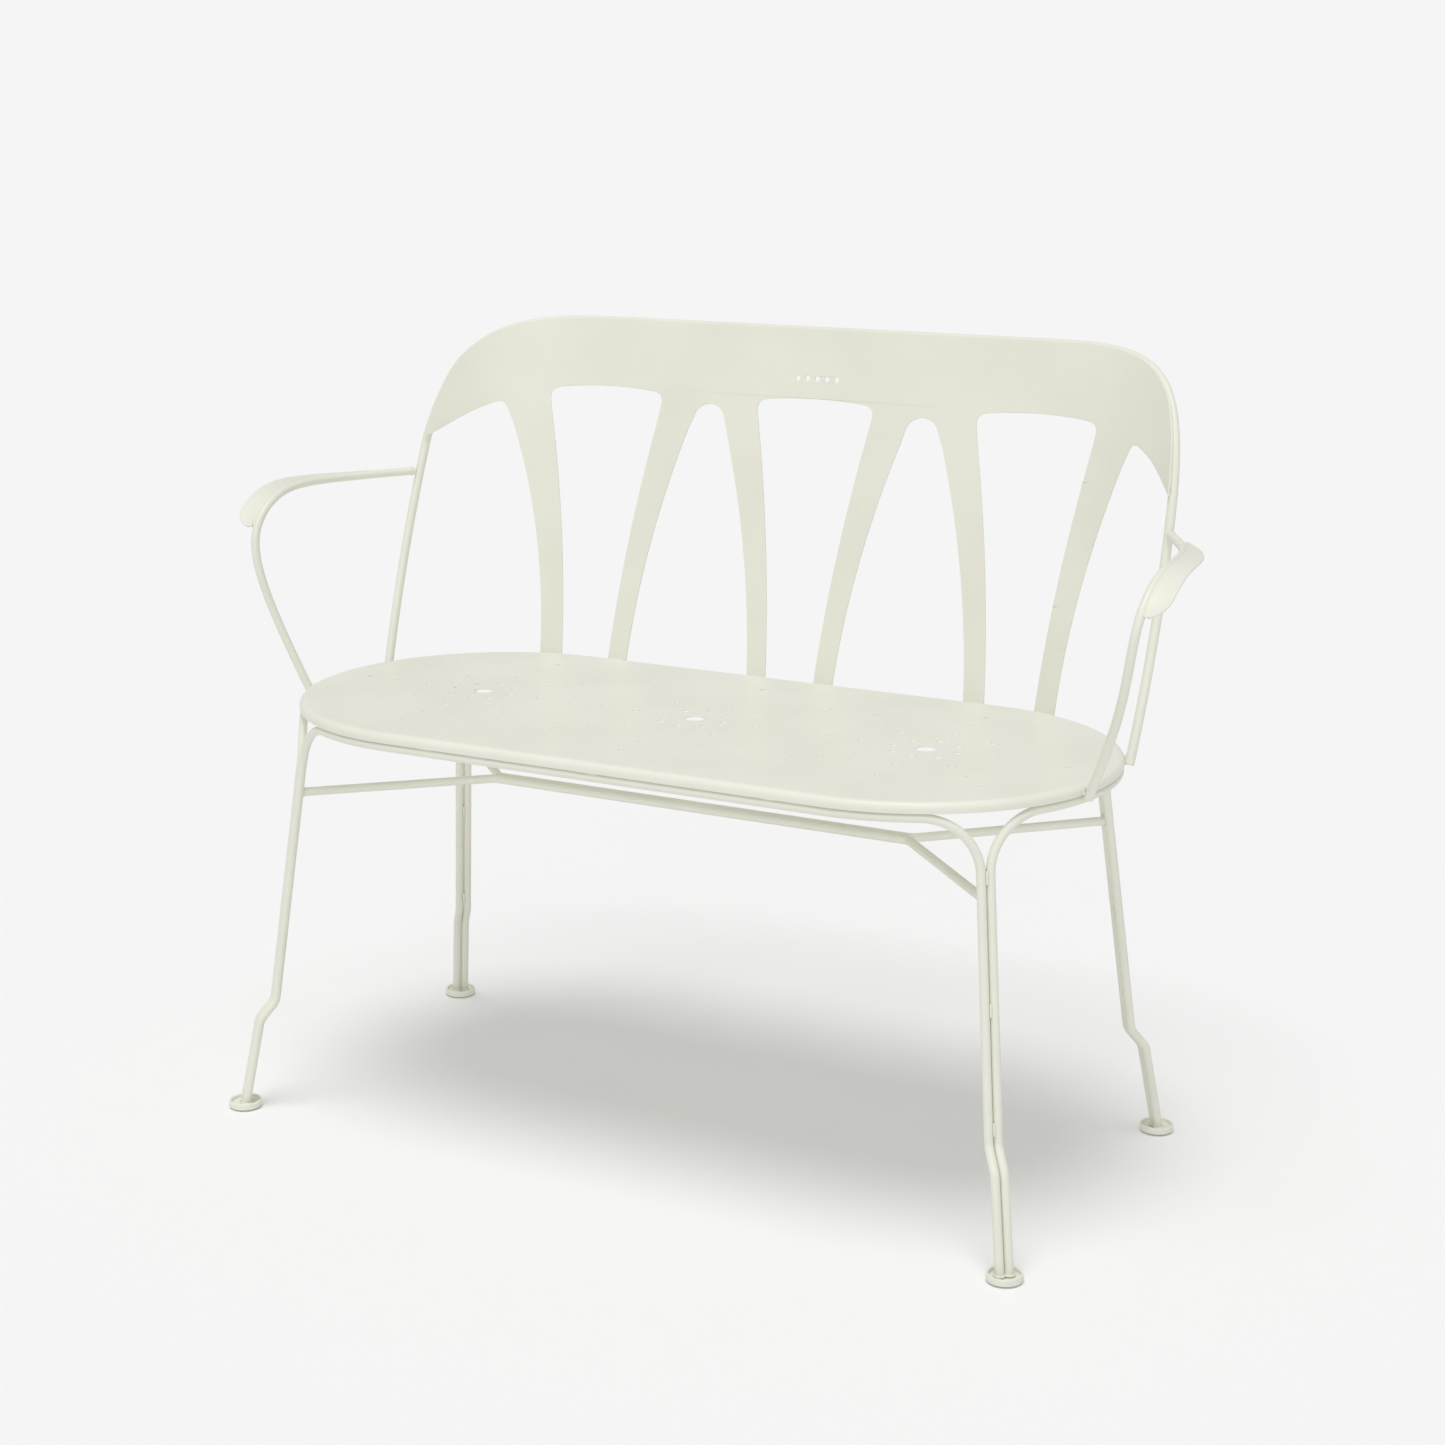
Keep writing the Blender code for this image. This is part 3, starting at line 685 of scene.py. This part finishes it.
def turned(name, profile, centre, sides, material, replaced):
    # a profile of (radius, height) points, from the axis at the top to the axis below
    bm = bmesh.new()
    rows = []
    for radius, z in profile:
        if radius == 0:
            rows.append([bm.verts.new((centre.x, centre.y, z))])
            continue
        row = []
        for t in (math.tau * i / sides for i in range(sides)):
            row.append(bm.verts.new((centre.x + radius * math.cos(t), centre.y + radius * math.sin(t), z)))
        rows.append(row)
    for upper, lower in zip(rows, rows[1:]):
        for i in range(sides):
            j = (i + 1) % sides
            corners = [upper[i % len(upper)], lower[i % len(lower)],
                       lower[j % len(lower)], upper[j % len(upper)]]
            bm.faces.new(list(dict.fromkeys(corners)))
    bmesh.ops.recalc_face_normals(bm, faces=bm.faces)
    return hand(meshObject(name, bm, material, smoothAngle=30), replaced)


cup = {
    "wall": 0.0028,
    "floorTop": 0.0045,
    "rimRound": 0.0014,
    "heelRound": 0.0015,
    "innerRound": 0.0015,
    "sides": 72,
}

glide = {
    "edgeRound": 0.0005,
    "topEdge": 0.0002,
}


def arc(centre, radius, start, stop, count):
    turns = spread(count, start, stop)
    return [(centre[0] + radius * math.cos(t), centre[1] + radius * math.sin(t)) for t in turns]


def cupProfile(radius, low, high):
    inner = radius - cup["wall"]
    rim = cup["rimRound"]
    heel = cup["heelRound"]
    hollow = cup["innerRound"]
    quarter = math.pi / 2
    profile = [(0.0, cup["floorTop"])]
    profile += arc((inner - hollow, cup["floorTop"] + hollow), hollow, -quarter, 0.0, 6)
    profile += arc((radius - rim, high - rim), rim, math.pi, 0.0, 11)
    profile += arc((radius - heel, low + heel), heel, 0.0, -quarter, 6)
    return [*profile, (0.0, low)]


def glideProfile(radius, high):
    soft = glide["edgeRound"]
    top = glide["topEdge"]
    profile = [(0.0, high), (radius - top, high), (radius, high - top)]
    profile += arc((radius - soft, soft), soft, 0.0, -math.pi / 2, 5)
    return [*profile, (0.0, 0.0)]


for sideName in ("right", "left"):
    for endName in ("front", "rear"):
        node = f"{endName}_{sideName}_foot"
        low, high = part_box(node)
        centre = (low + high) / 2
        profile = cupProfile((high.x - low.x) / 2, low.z, high.z)
        title = endName + sideName.capitalize()
        turned(title + "FootCup", profile, centre, cup["sides"], sheetCoat, [node])
        node = f"{endName}_{sideName}_glide"
        low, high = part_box(node)
        profile = glideProfile((high.x - low.x) / 2, high.z)
        turned(title + "Glide", profile, centre, cup["sides"], footPlastic, [node])
print("feet made")


# Back

back = {
    "sheet": 0.0020,
    "lean": 0.1946,
    "startY": 0.2159,
    "endRadius": 0.2162,
    "growth": 0.27,
    "tuck": 1.0,                    # how much harder the ends turn in towards the hoop
    "tuckStart": 0.08,
    "edgeRound": 0.00045,
    "strips": 30,                   # upright strips over each round end
    "stripWidth": 0.007,
    "stripHeight": 0.022,
    "footZ": 0.4435,
    "ventZ": 0.7835,
    "ventPitch": 0.012,
    "ventRadius": 0.003,
}

# Splat edges: distance from the middle at seat height, slope and curve
splats = {
    "innerIn": (0.0307, 0.0652, 0.2619),
    "innerOut": (0.0545, 0.0684, 0.5132),
    "middleIn": (0.2138, -0.0660, -0.5159),
    "middleOut": (0.2383, -0.0627, -0.2765),
    "outerIn": (0.2991, 0.0569, 0.2910),
    "outerOut": (0.3246, 0.0450, 0.5952),
}

openings = {
    "windowEdgeZ": 0.7475,
    "windowCrownZ": 0.7613,
    "windowDrop": 0.0045,
    "windowCorner": 0.013,
    "middleHalfWidth": 0.0745,
    "outerX": 0.2688,
    "outerHalfWidth": 0.0735,
    "archEdgeZ": 0.7175,
    "archCrown": (0.1333, 0.7295),
    "archCrownSize": (0.0203, 0.0190),
    "sideArch": [(0.4475, 0.7080), (0.4355, 0.7177), (0.4200, 0.7292), (0.4040, 0.7380), (0.3900, 0.7440)],
    "sideCorner": 0.0105,
}

hoop = {
    "radius": 0.0050,
    "endZ": 0.4405,
    "cornerZ": 0.7025,
    "cornerPulls": ((0.4460, 0.8145), (0.4105, 0.8348)),
    "cornerTopX": 0.300,
    "topZ": 0.8348,
    "foot": (0.4566, 0.0848),
    "bow": (0.0656, -0.2448),
    "lean": 0.3590,
    "behind": 0.0005,               # clearance between the sheet and the tube behind it
    "lap": 0.0026,                  # how far the sheet reaches past the tube's centreline
    "lapFoot": -0.0040,             # and where its sides end, short of the centreline
    "lapRise": 0.35,
    "seamRadius": 0.0013,
    "seamDepth": 0.0027,            # of the seam's middle behind the sheet's front face
    "seamInset": 0.0004,            # of the seam's middle from the sheet's edge
}


def backY(x, z):
    # the back's front face: flat in the middle, with round ends that widen towards the top
    rise = z - seatTop
    radius = back["endRadius"] + back["growth"] * rise
    beyond = max(abs(x) - endCentreX, 0.0)
    tuck = back["tuck"] * max(beyond - back["tuckStart"], 0.0) ** 2
    middle = back["startY"] + back["lean"] * rise
    return middle - radius + math.sqrt(max(radius ** 2 - beyond ** 2, 0.0)) - tuck


def slopeAcross(x, z, step=0.001):
    return (backY(x + step, z) - backY(x - step, z)) / (2 * step)


def behindSheet(x, z, depth):
    # straight behind the front face, at some depth measured square to the sheet
    step = 0.001
    slopeX = slopeAcross(x, z)
    slopeZ = (backY(x, z + step) - backY(x, z - step)) / (2 * step)
    return Vector((x, backY(x, z) + depth * math.sqrt(1 + slopeX ** 2 + slopeZ ** 2), z))


def hoopSide(z):
    rise = z - seatTop
    x = hoop["foot"][0] + hoop["bow"][0] * rise + hoop["bow"][1] * rise ** 2
    return Vector((x, hoop["foot"][1] + hoop["lean"] * rise, z))


def hoopCorner(t):
    # seen from the front, from the side tube to the top bar
    start = (hoopSide(hoop["cornerZ"]).x, hoop["cornerZ"])
    corners = (start, *hoop["cornerPulls"], (hoop["cornerTopX"], hoop["topZ"]))
    a, b, c, d = (Vector((*corner, 0)) for corner in corners)
    u = 1 - t
    return a * u ** 3 + b * 3 * u * u * t + c * 3 * u * t * t + d * t ** 3


def besideHoop(t, out):
    # seen from the front, a place beside the hoop's corner, outward of its centreline
    here = hoopCorner(t)
    run = (hoopCorner(max(t - 0.01, 0.0)) - hoopCorner(min(t + 0.01, 1.0)))
    stretch = math.sqrt(1 + slopeAcross(here.x, here.y) ** 2)
    run = Vector((run.x * stretch, run.y, 0)).normalized()
    return here.x - run.y * out / stretch, here.y + run.x * out


def lapAt(t):
    # how far the sheet reaches past the tube's centreline at a place on the corner
    return hoop["lapFoot"] + (hoop["lap"] - hoop["lapFoot"]) * min(t / hoop["lapRise"], 1.0)


def hoopHalf():
    # up the side, round the corner, then along the top to where the sheet turns flat
    path = [hoopSide(z) for z in spread(24, hoop["endZ"], hoop["cornerZ"])]
    spots = [(spot.x, spot.y) for spot in map(hoopCorner, spread(33)[1:])]
    spots += [(x, hoop["topZ"]) for x in spread(10, hoop["cornerTopX"], endCentreX)[1:]]
    depth = back["sheet"] + hoop["behind"] + hoop["radius"]
    return path + [behindSheet(x, z, depth) for x, z in spots]


def splatEdge(name, fromZ, toZ, count=22):
    start, slope, curve = splats[name]
    edge = []
    for z in spread(count, fromZ, toZ):
        rise = z - seatTop
        edge.append((start + slope * rise + curve * rise ** 2, z))
    return edge


def windowTop(centreX, halfWidth, count=21):
    return [(centreX + halfWidth * s, openings["windowCrownZ"] - openings["windowDrop"] * s ** 2)
            for s in spread(count, 1.0, -1.0)]


def softened(points, index, radius, steps=10):
    before, corner, after = (Vector((*points[i], 0)) for i in (index - 1, index, index + 1))
    # a near point is skipped, so that the corner has room for its radius
    room = radius * 2.2
    i, j = index - 1, index + 1
    while (before - corner).length < room:
        i -= 1
        before = Vector((*points[i], 0))
    while (after - corner).length < room:
        j += 1
        after = Vector((*points[j], 0))
    bend = roundedPath([before, corner, after], radius, steps)[1:-1]
    return points[:i + 1] + [(p.x, p.y) for p in bend] + points[j:]


def smoothArch(points, count=16):
    # a smooth line through a few places along the side arch
    spots = [Vector((*p, 0)) for p in points]
    line = []
    for i in range(len(spots) - 1):
        a, b = spots[i], spots[i + 1]
        before = spots[i - 1] if i else a * 2 - b
        after = spots[i + 2] if i + 2 < len(spots) else b * 2 - a
        for t in spread(count // 4 + 1)[:-1]:
            line.append(0.5 * ((2 * a) + (b - before) * t + (2 * before - 5 * a + 4 * b - after) * t ** 2
                               + (3 * a - before - 3 * b + after) * t ** 3))
    line.append(spots[-1])
    return [(p.x, p.y) for p in line]


def backOutlineHalf():
    # from the middle of the top edge round the right half to the middle window's crown
    outline = [(0.0, hoop["topZ"] + hoop["lap"])]
    outline += [besideHoop(t, lapAt(t)) for t in spread(41, 1.0, 0.0)]

    arch = smoothArch(openings["sideArch"])
    corner = len(arch) - 1
    arch += splatEdge("outerOut", openings["archEdgeZ"], back["footZ"])
    outline += softened(arch, corner, openings["sideCorner"])

    up = splatEdge("outerIn", back["footZ"], openings["windowEdgeZ"])
    top = windowTop(openings["outerX"], openings["outerHalfWidth"])
    down = splatEdge("middleOut", openings["windowEdgeZ"], back["footZ"])
    window = up + top + down
    window = softened(window, len(up) + len(top) - 1, openings["windowCorner"])
    outline += softened(window, len(up), openings["windowCorner"])

    outline += splatEdge("middleIn", back["footZ"], openings["archEdgeZ"])
    crownX, crownZ = openings["archCrown"]
    sizeX, sizeZ = openings["archCrownSize"]
    for turn in spread(25, math.radians(15), math.radians(165)):
        outline.append((crownX + sizeX * math.cos(turn), crownZ + sizeZ * math.sin(turn)))
    outline += splatEdge("innerOut", openings["archEdgeZ"], back["footZ"])

    up = splatEdge("innerIn", back["footZ"], openings["windowEdgeZ"])
    halfTop = windowTop(0.0, openings["middleHalfWidth"], 41)[:21]
    return outline + softened(up + halfTop, len(up), openings["windowCorner"])


def thinned(points, least=0.0006):
    # drops points that lie closer together than the edge's roundness can use
    kept = [points[0]]
    for point in points[1:]:
        if (Vector(point) - Vector(kept[-1])).length >= least:
            kept.append(point)
    return kept


def filledFlat(outlines):
    # a flat sheet in X and Z with holes, as a bmesh whose Y is Z
    lines = [[(x, z, 0.0) for x, z in outline] for outline in outlines]
    guide = pathCurve("backOutline", lines, cyclic=True)
    guide.data.dimensions = "2D"
    guide.data.fill_mode = "BOTH"
    bm = evaluatedShape(guide)
    bmesh.ops.remove_doubles(bm, verts=bm.verts, dist=0.00001)
    return bm


def mergeStrips(bm, uprights, levels):
    # dissolves every inner edge that lies on no cut, then divides the cells afresh
    crowded = 0.0003                # rim points closer than this become one
    near = 0.00005                  # how far off a cut an edge still counts as on it
    rim = [vert for vert in bm.verts if vert.is_boundary]
    bmesh.ops.remove_doubles(bm, verts=rim, dist=crowded)
    spare = []
    for edge in bm.edges:
        a, b = (vert.co for vert in edge.verts)
        upright = abs(a.x - b.x) < near and any(abs(abs(a.x) - x) < near for x in uprights)
        level = abs(a.y - b.y) < near and any(abs(a.y - z) < near for z in levels)
        if not (upright or level or edge.is_boundary):
            spare.append(edge)
    bmesh.ops.dissolve_edges(bm, edges=spare, use_verts=False)
    idle = [vert for vert in bm.verts if not vert.is_boundary and len(vert.link_edges) == 2]
    bmesh.ops.dissolve_verts(bm, verts=idle)
    bmesh.ops.triangulate(bm, faces=bm.faces)


def buildBackPanel():
    half = thinned(backOutlineHalf())
    left = [(-x, z) for x, z in reversed(half[1:-1])]
    ventRing = arc((0, back["ventZ"]), back["ventRadius"], 0.0, math.tau, 29)[:-1]
    vents = [[(back["ventPitch"] * step + x, z) for x, z in ventRing] for step in range(-2, 3)]
    bm = filledFlat([half + left, *vents])
    # one level cut runs through the vents, so that no cell has a hole in it
    uprights = [endCentreX + cut * back["stripWidth"] for cut in range(back["strips"])]
    above = int((hoop["topZ"] - back["ventZ"]) / back["stripHeight"])
    below = int((back["ventZ"] - back["footZ"]) / back["stripHeight"])
    levels = [back["ventZ"] + step * back["stripHeight"] for step in range(-below, above + 1)]
    cuts = [((side * x, 0, 0), (1, 0, 0)) for x in uprights for side in (1, -1)]
    cuts += [((0, z, 0), (0, 1, 0)) for z in levels]
    for spot, normal in cuts:
        everything = bm.verts[:] + bm.edges[:] + bm.faces[:]
        bmesh.ops.bisect_plane(bm, geom=everything, plane_co=spot, plane_no=normal, dist=0.0001)
    mergeStrips(bm, uprights, levels)
    for vert in bm.verts:
        x, z = vert.co.x, vert.co.y
        vert.co = (x, backY(x, z) + middleY, z)
    bmesh.ops.recalc_face_normals(bm, faces=bm.faces)
    if max(bm.faces, key=lambda face: face.calc_area()).normal.y > 0:
        bmesh.ops.reverse_faces(bm, faces=bm.faces)
    panel = meshObject("backPanel", bm, sheetCoat)
    panel = thickened(panel, sheetCoat, back["sheet"], back["edgeRound"], segments=2)
    return hand(panel, replaced=["back_panel"])


def hoopSeam():
    # the fine fillet between the sheet's edge and the tube behind it
    spots = [besideHoop(t, lapAt(t) - hoop["seamInset"]) for t in spread(60, 0.02, 1.0)]
    topZ = hoop["topZ"] + hoop["lap"] - hoop["seamInset"]
    spots += [(x, topZ) for x in spread(12, hoop["cornerTopX"], endCentreX)[1:]]
    return [behindSheet(x, z, hoop["seamDepth"]) for x, z in spots]


buildBackPanel()
hoopPath = hoopHalf()
seamPath = hoopSeam()
wholeHoop = hoopPath + mirrored(reversed(hoopPath), flipX=True)
wholeSeam = seamPath + mirrored(reversed(seamPath), flipX=True)
rod("backHoop", wholeHoop, hoop["radius"], ["back_hoop"], sides=28)
rod("backHoopSeam", wholeSeam, hoop["seamRadius"], [], sides=12)
print("back made")


# Arms

arm = {
    "radius": 0.00465,
    "route": [
        (0.4634, 0.1548, 0.6635),
        (0.5000, 0.1000, 0.6625),
        (0.5190, 0.0340, 0.6645),
        (0.5190, -0.0330, 0.6625),
        (0.5170, -0.0840, 0.6255),
        (0.5100, -0.0810, 0.5685),
        (0.4930, -0.0660, 0.5075),
        (0.4643, -0.0543, 0.4390),
    ],
    "plateStart": 0.065,
    "plateEnd": 0.590,
    "lead": 0.02,
    "taper": 0.48,
    "blunt": 0.16,
    "bluntTurn": math.radians(76),  # how far round the blunt end goes before it is cut straight
    "inner": 0.00495,               # from the rod's axis to the plate's edge beside it
    "outer": 0.0275,
    "rise": 0.0040,                 # height of the plate's top face over the rod's axis
    "sheet": 0.0025,
    "tilt": math.radians(1),
    "dip": 0.0005,
    "edgeRound": 0.0008,
    "seamRadius": 0.0016,
    "seamOut": 0.0045,
    "seamRise": 0.0020,
    "seamShares": (-0.02, 1.005),   # where the seam starts and ends along the plate
    "seamSunk": 0.4,                # share of seamOut left at both its ends
    "seamEase": 12,                 # how fast it comes out of the rod
    "ringShares": (0.004, 0.02),    # the rod's end that is welded to the hoop, and its direction
}


def plateReach(share):
    # distance of the plate's outer edge from the rod's axis
    widen = math.sin(math.pi / 2 * min((share + arm["lead"]) / arm["taper"], 1.0))
    close = max(share - 1 + arm["blunt"], 0.0) / arm["blunt"]
    return arm["inner"] + (arm["outer"] - arm["inner"]) * widen * math.sqrt(max(1 - close ** 2, 0.0))


def rodFrame(t):
    # a place on the arm rod, the outward direction there and the one square to it upward
    before, here, after = splinePath(arm["route"], (t - 0.01, t, t + 0.01))
    along = (after - before).normalized()
    up = Vector((0, 0, 1))
    normal = (up - along * up.dot(along)).normalized()
    outward = normal.cross(along)
    if outward.x < 0:
        outward = -outward
    return here, outward, normal


def alongPlate(share):
    return arm["plateStart"] + (arm["plateEnd"] - arm["plateStart"]) * share


def buildArmrest(sideName, flip):
    blunt = [1 - arm["blunt"] * (1 - math.sin(turn)) for turn in spread(15, 0.0, arm["bluntTurn"])[1:]]
    bm = bmesh.new()
    rows = []
    for share in spread(40, 0.0, 1 - arm["blunt"]) + blunt:
        here, outward, normal = rodFrame(alongPlate(share))
        tilted = outward * math.cos(arm["tilt"]) + normal * math.sin(arm["tilt"])
        top = here + normal * arm["rise"]
        reach = plateReach(share)
        width = reach - arm["inner"]
        row = []
        for across in spread(9):
            # the plate dips slightly along its middle, as a pressed leaf does
            dip = arm["dip"] * math.sin(math.pi * across) * reach / arm["outer"]
            row.append(top + tilted * (arm["inner"] + width * across) - normal * dip)
        rows.append([bm.verts.new(place(p)) for p in mirrored(row, flipX=flip)])
    for near, far in zip(rows, rows[1:]):
        for a, b, c, d in zip(near, near[1:], far[1:], far):
            bm.faces.new((a, b, c, d))
    bmesh.ops.recalc_face_normals(bm, faces=bm.faces)
    if bm.faces[0].normal.z < 0:
        bmesh.ops.reverse_faces(bm, faces=bm.faces)
    plate = meshObject(sideName + "Armrest", bm, sheetCoat)
    plate = thickened(plate, sheetCoat, arm["sheet"], arm["edgeRound"], segments=3)
    return hand(plate, replaced=[sideName + "_armrest"])


def plateSeam():
    # the smooth seam that fills the groove between the rod and its plate
    seam = []
    first, last = arm["seamShares"]
    for share in spread(90, first, last):
        here, outward, normal = rodFrame(alongPlate(share))
        # both ends run into the rod
        fromEnd = min(share - first, last - share)
        out = arm["seamOut"] * min(arm["seamSunk"] + arm["seamEase"] * fromEnd, 1.0)
        seam.append(here + outward * out + normal * arm["seamRise"])
    return seam


for sideName, flip in (("right", False), ("left", True)):
    route = splinePath(arm["route"], spread(90))
    rod(sideName + "ArmRod", mirrored(route, flipX=flip), arm["radius"], [sideName + "_arm_rod"])
    buildArmrest(sideName, flip)
    rod(sideName + "ArmSeam", mirrored(plateSeam(), flipX=flip), arm["seamRadius"], [], sides=16)
print("arms made")


# Weld beads

welds = {
    "ring": 0.0008,                 # bead radius round a rod's end
    "ringOut": 0.0002,              # from the rod's surface to the middle of its ring
    "tack": 0.0013,
    "rim": 0.0015,
    "seam": 0.0012,
    "foot": 0.0011,
    "footOut": 0.0004,              # from the rod's surface to the middle of its foot ring
    "tackLength": 0.014,
    "braceXs": (0.006, 0.236),      # middles of the tacks between the two brace rods
    "braceLength": 0.022,
    "braceGroove": 0.72,            # how deep tacks lie between two rods, as a share of the radius
    "legZs": (0.372, 0.246, 0.132),
    "legGroove": 0.74,
    "railXs": (-0.20, 0.0, 0.20),
    "railBearings": (78, 102),
    "railInset": 0.0030,
    "railDrop": 0.0002,
    "splatInset": 0.002,
    "seamXs": (-0.24, -0.12, 0.0, 0.12, 0.24),
    "cornerShares": (0.88, 0.62, 0.40, 0.16),
    "cornerHalf": 0.025,            # half a corner tack's length, as a share of the corner
    "hoopInset": 0.85,              # from the tube's centreline, as a share of its radius
    "hoopBehind": 0.0012,
}


def ringAround(centre, axis, radius, count=36):
    axis = axis.normalized()
    first = axis.orthogonal().normalized()
    second = axis.cross(first)
    turns = [math.tau * i / count for i in range(count)]
    return [centre + first * radius * math.cos(t) + second * radius * math.sin(t) for t in turns]


def fourTimes(paths):
    # the same beads at all four legs
    every = []
    for flipX in (False, True):
        for flipY in (False, True):
            every += [mirrored(path, flipX, flipY) for path in paths]
    return every


def bothSides(paths):
    return [mirrored(path, flipX) for path in paths for flipX in (False, True)]


def braceWelds():
    route = braceRod()
    ring = ringAround(route[0], route[1] - route[0], brace["radius"] + welds["ringOut"])
    beads("braceEndWelds", fourTimes([ring]), welds["ring"], cyclic=True)
    lines = []
    length = welds["braceLength"]
    for middle in welds["braceXs"]:
        for side in (1, -1):
            z = brace["z"] + side * brace["radius"] * welds["braceGroove"]
            lines.append([(middle - length / 2 + step, 0.0, z) for step in spread(6, 0.0, length)])
    beads("braceTackWelds", bothSides(lines), welds["tack"])


def legWelds():
    # short tacks in the groove between the two rods of a leg
    lines = []
    for lowZ in welds["legZs"]:
        for side in (1, -1):
            lines.append([roundEnd(legAngle, legReach(z) + side * leg["radius"] * welds["legGroove"], z)
                          for z in spread(6, lowZ, lowZ + welds["tackLength"])])
    beads("legTackWelds", fourTimes(lines), welds["tack"])
    rings = []
    for side in (1, -1):
        end = legSide(side)[0]
        rings.append(ringAround(end, Vector((0, 0, 1)), leg["radius"] + welds["footOut"]))
    beads("footWelds", fourTimes(rings), welds["foot"], cyclic=True)


def rimSpot(bearing, out, z):
    return roundEnd(bearing, seatRadius + out, z)


def seatWelds():
    beadZ = seatTop - seat["lipDepth"] - welds["railDrop"]
    inset = welds["railInset"]
    half = welds["tackLength"] / 2
    lines = []
    for x in welds["railXs"]:
        for side in (1, -1):
            y = side * (seatRadius - inset)
            lines.append([(x + step, y, beadZ) for step in spread(5, -half, half)])
    reach = half / seatRadius
    for bearing in map(math.radians, welds["railBearings"]):
        line = [rimSpot(bearing + turn, -inset, beadZ) for turn in spread(5, -reach, reach)]
        lines += [line, mirrored(line, flipX=True)]
    beads("railWelds", lines, welds["tack"])

    # splat feet against the rim, above and below
    lines = []
    for inName, outName in (("innerIn", "innerOut"), ("middleIn", "middleOut"), ("outerIn", "outerOut")):
        fromX = splats[inName][0] + welds["splatInset"]
        toX = splats[outName][0] - welds["splatInset"]
        for z in (seatTop - 0.0030, back["footZ"] - 0.0006):
            line = []
            for x in spread(9, fromX, toX):
                beyond = max(x - endCentreX, 0.0)
                rim = math.sqrt(seatRadius ** 2 - beyond ** 2)
                line.append((x, (rim + backY(x, max(z, back["footZ"]))) / 2 + 0.0002, z))
            lines.append(line)
    beads("splatWelds", bothSides(lines), welds["seam"])

    # hoop and arm feet, one bead on each side of the bar
    lines = []
    for foot in (hoopSide(seatTop - 0.006), Vector(arm["route"][-1])):
        bearing = math.atan2(foot.x - endCentreX, -foot.y)
        for side in (1, -1):
            turn = bearing + side * 0.0031 / seatRadius
            lines.append([rimSpot(turn, 0.0011, z) for z in spread(6, seatTop - 0.0100, seatTop - 0.0025)])
    beads("rimWelds", bothSides(lines), welds["rim"])


def hoopWelds():
    # tacks behind the sheet, along its seam with the hoop
    inset = hoop["radius"] * welds["hoopInset"]
    behind = back["sheet"] + welds["hoopBehind"]
    half = welds["tackLength"] / 2
    lines = [[behindSheet(x + step, hoop["topZ"] - inset, behind) for step in spread(6, -half, half)]
             for x in welds["seamXs"]]
    corners = []
    for share in welds["cornerShares"]:
        line = []
        for t in spread(6, share - welds["cornerHalf"], share + welds["cornerHalf"]):
            x, z = besideHoop(t, -inset)
            line.append(behindSheet(x, z, behind))
        corners.append(line)
    beads("hoopWelds", lines + bothSides(corners), welds["seam"])


def armWelds():
    start, ahead = splinePath(arm["route"], arm["ringShares"])
    ring = ringAround(start, ahead - start, arm["radius"] + welds["ringOut"])
    beads("armEndWelds", bothSides([ring]), welds["ring"], cyclic=True)


braceWelds()
legWelds()
seatWelds()
hoopWelds()
armWelds()
print("weld beads made")


# Floor, light and camera

studio = {
    "floor": (0.90, 0.90, 0.90),
    "floorSize": 60.0,
    "world": 0.53,
    "backdrop": 0.913,
    # power, size, turn and shadow of each soft sun: one almost overhead, one low from the viewer's side
    "suns": [
        ("key", 1.32, math.radians(30), (math.radians(12), 0, 0), True),
        ("fill", 0.55, math.radians(50), (math.radians(65), 0, math.radians(20)), False),
    ],
}


def buildStudio():
    bm = bmesh.new()
    bmesh.ops.create_grid(bm, x_segments=2, y_segments=2, size=studio["floorSize"] / 2)
    material = bpy.data.materials.new("studio floor")
    material.use_nodes = True
    shader = material.node_tree.nodes["Principled BSDF"]
    shader.inputs["Base Color"].default_value = (*studio["floor"], 1.0)
    shader.inputs["Roughness"].default_value = 0.9
    shader.inputs["Specular IOR Level"].default_value = 0.0
    floor = meshObject("floor", bm, material)

    # the sky lights the bench at one strength and shows at another
    world = bpy.data.worlds.new("studio")
    world.use_nodes = True
    nodes = world.node_tree.nodes
    links = world.node_tree.links
    dome = nodes["Background"]
    dome.inputs["Color"].default_value = (1.0, 1.0, 1.0, 1.0)
    dome.inputs["Strength"].default_value = studio["world"]
    seen = nodes.new("ShaderNodeBackground")
    seen.inputs["Strength"].default_value = studio["backdrop"]
    seen.inputs["Color"].default_value = (1.0, 1.0, 1.0, 1.0)
    either = nodes.new("ShaderNodeMixShader")
    links.new(nodes.new("ShaderNodeLightPath").outputs["Is Camera Ray"], either.inputs["Fac"])
    links.new(dome.outputs[0], either.inputs[1])
    links.new(seen.outputs[0], either.inputs[2])
    links.new(either.outputs[0], nodes["World Output"].inputs["Surface"])
    bpy.context.scene.world = world

    for name, power, size, turn, shadow in studio["suns"]:
        light = bpy.data.lights.new(name, "SUN")
        light.energy = power
        light.angle = size
        light.use_shadow = shadow
        lamp = bpy.data.objects.new(name, light)
        lamp.rotation_euler = turn
        bpy.context.scene.collection.objects.link(lamp)


view = {
    "offset": (1.345, -2.385, 0.669),       # from the seat top's middle
    "yaw": math.radians(28.81),
    "pitch": math.radians(13.82),
    "lens": 66.3,
}


def buildCamera():
    camera = bpy.data.objects.new("camera", bpy.data.cameras.new("camera"))
    camera.data.lens = view["lens"]
    camera.data.sensor_width = 36.0
    camera.location = Vector((0, middleY, seatTop)) + Vector(view["offset"])
    camera.rotation_euler = (math.pi / 2 - view["pitch"], 0, view["yaw"])
    bpy.context.scene.collection.objects.link(camera)
    bpy.context.scene.camera = camera


buildStudio()
buildCamera()
bpy.context.scene.view_settings.view_transform = "Standard"
print("studio made")
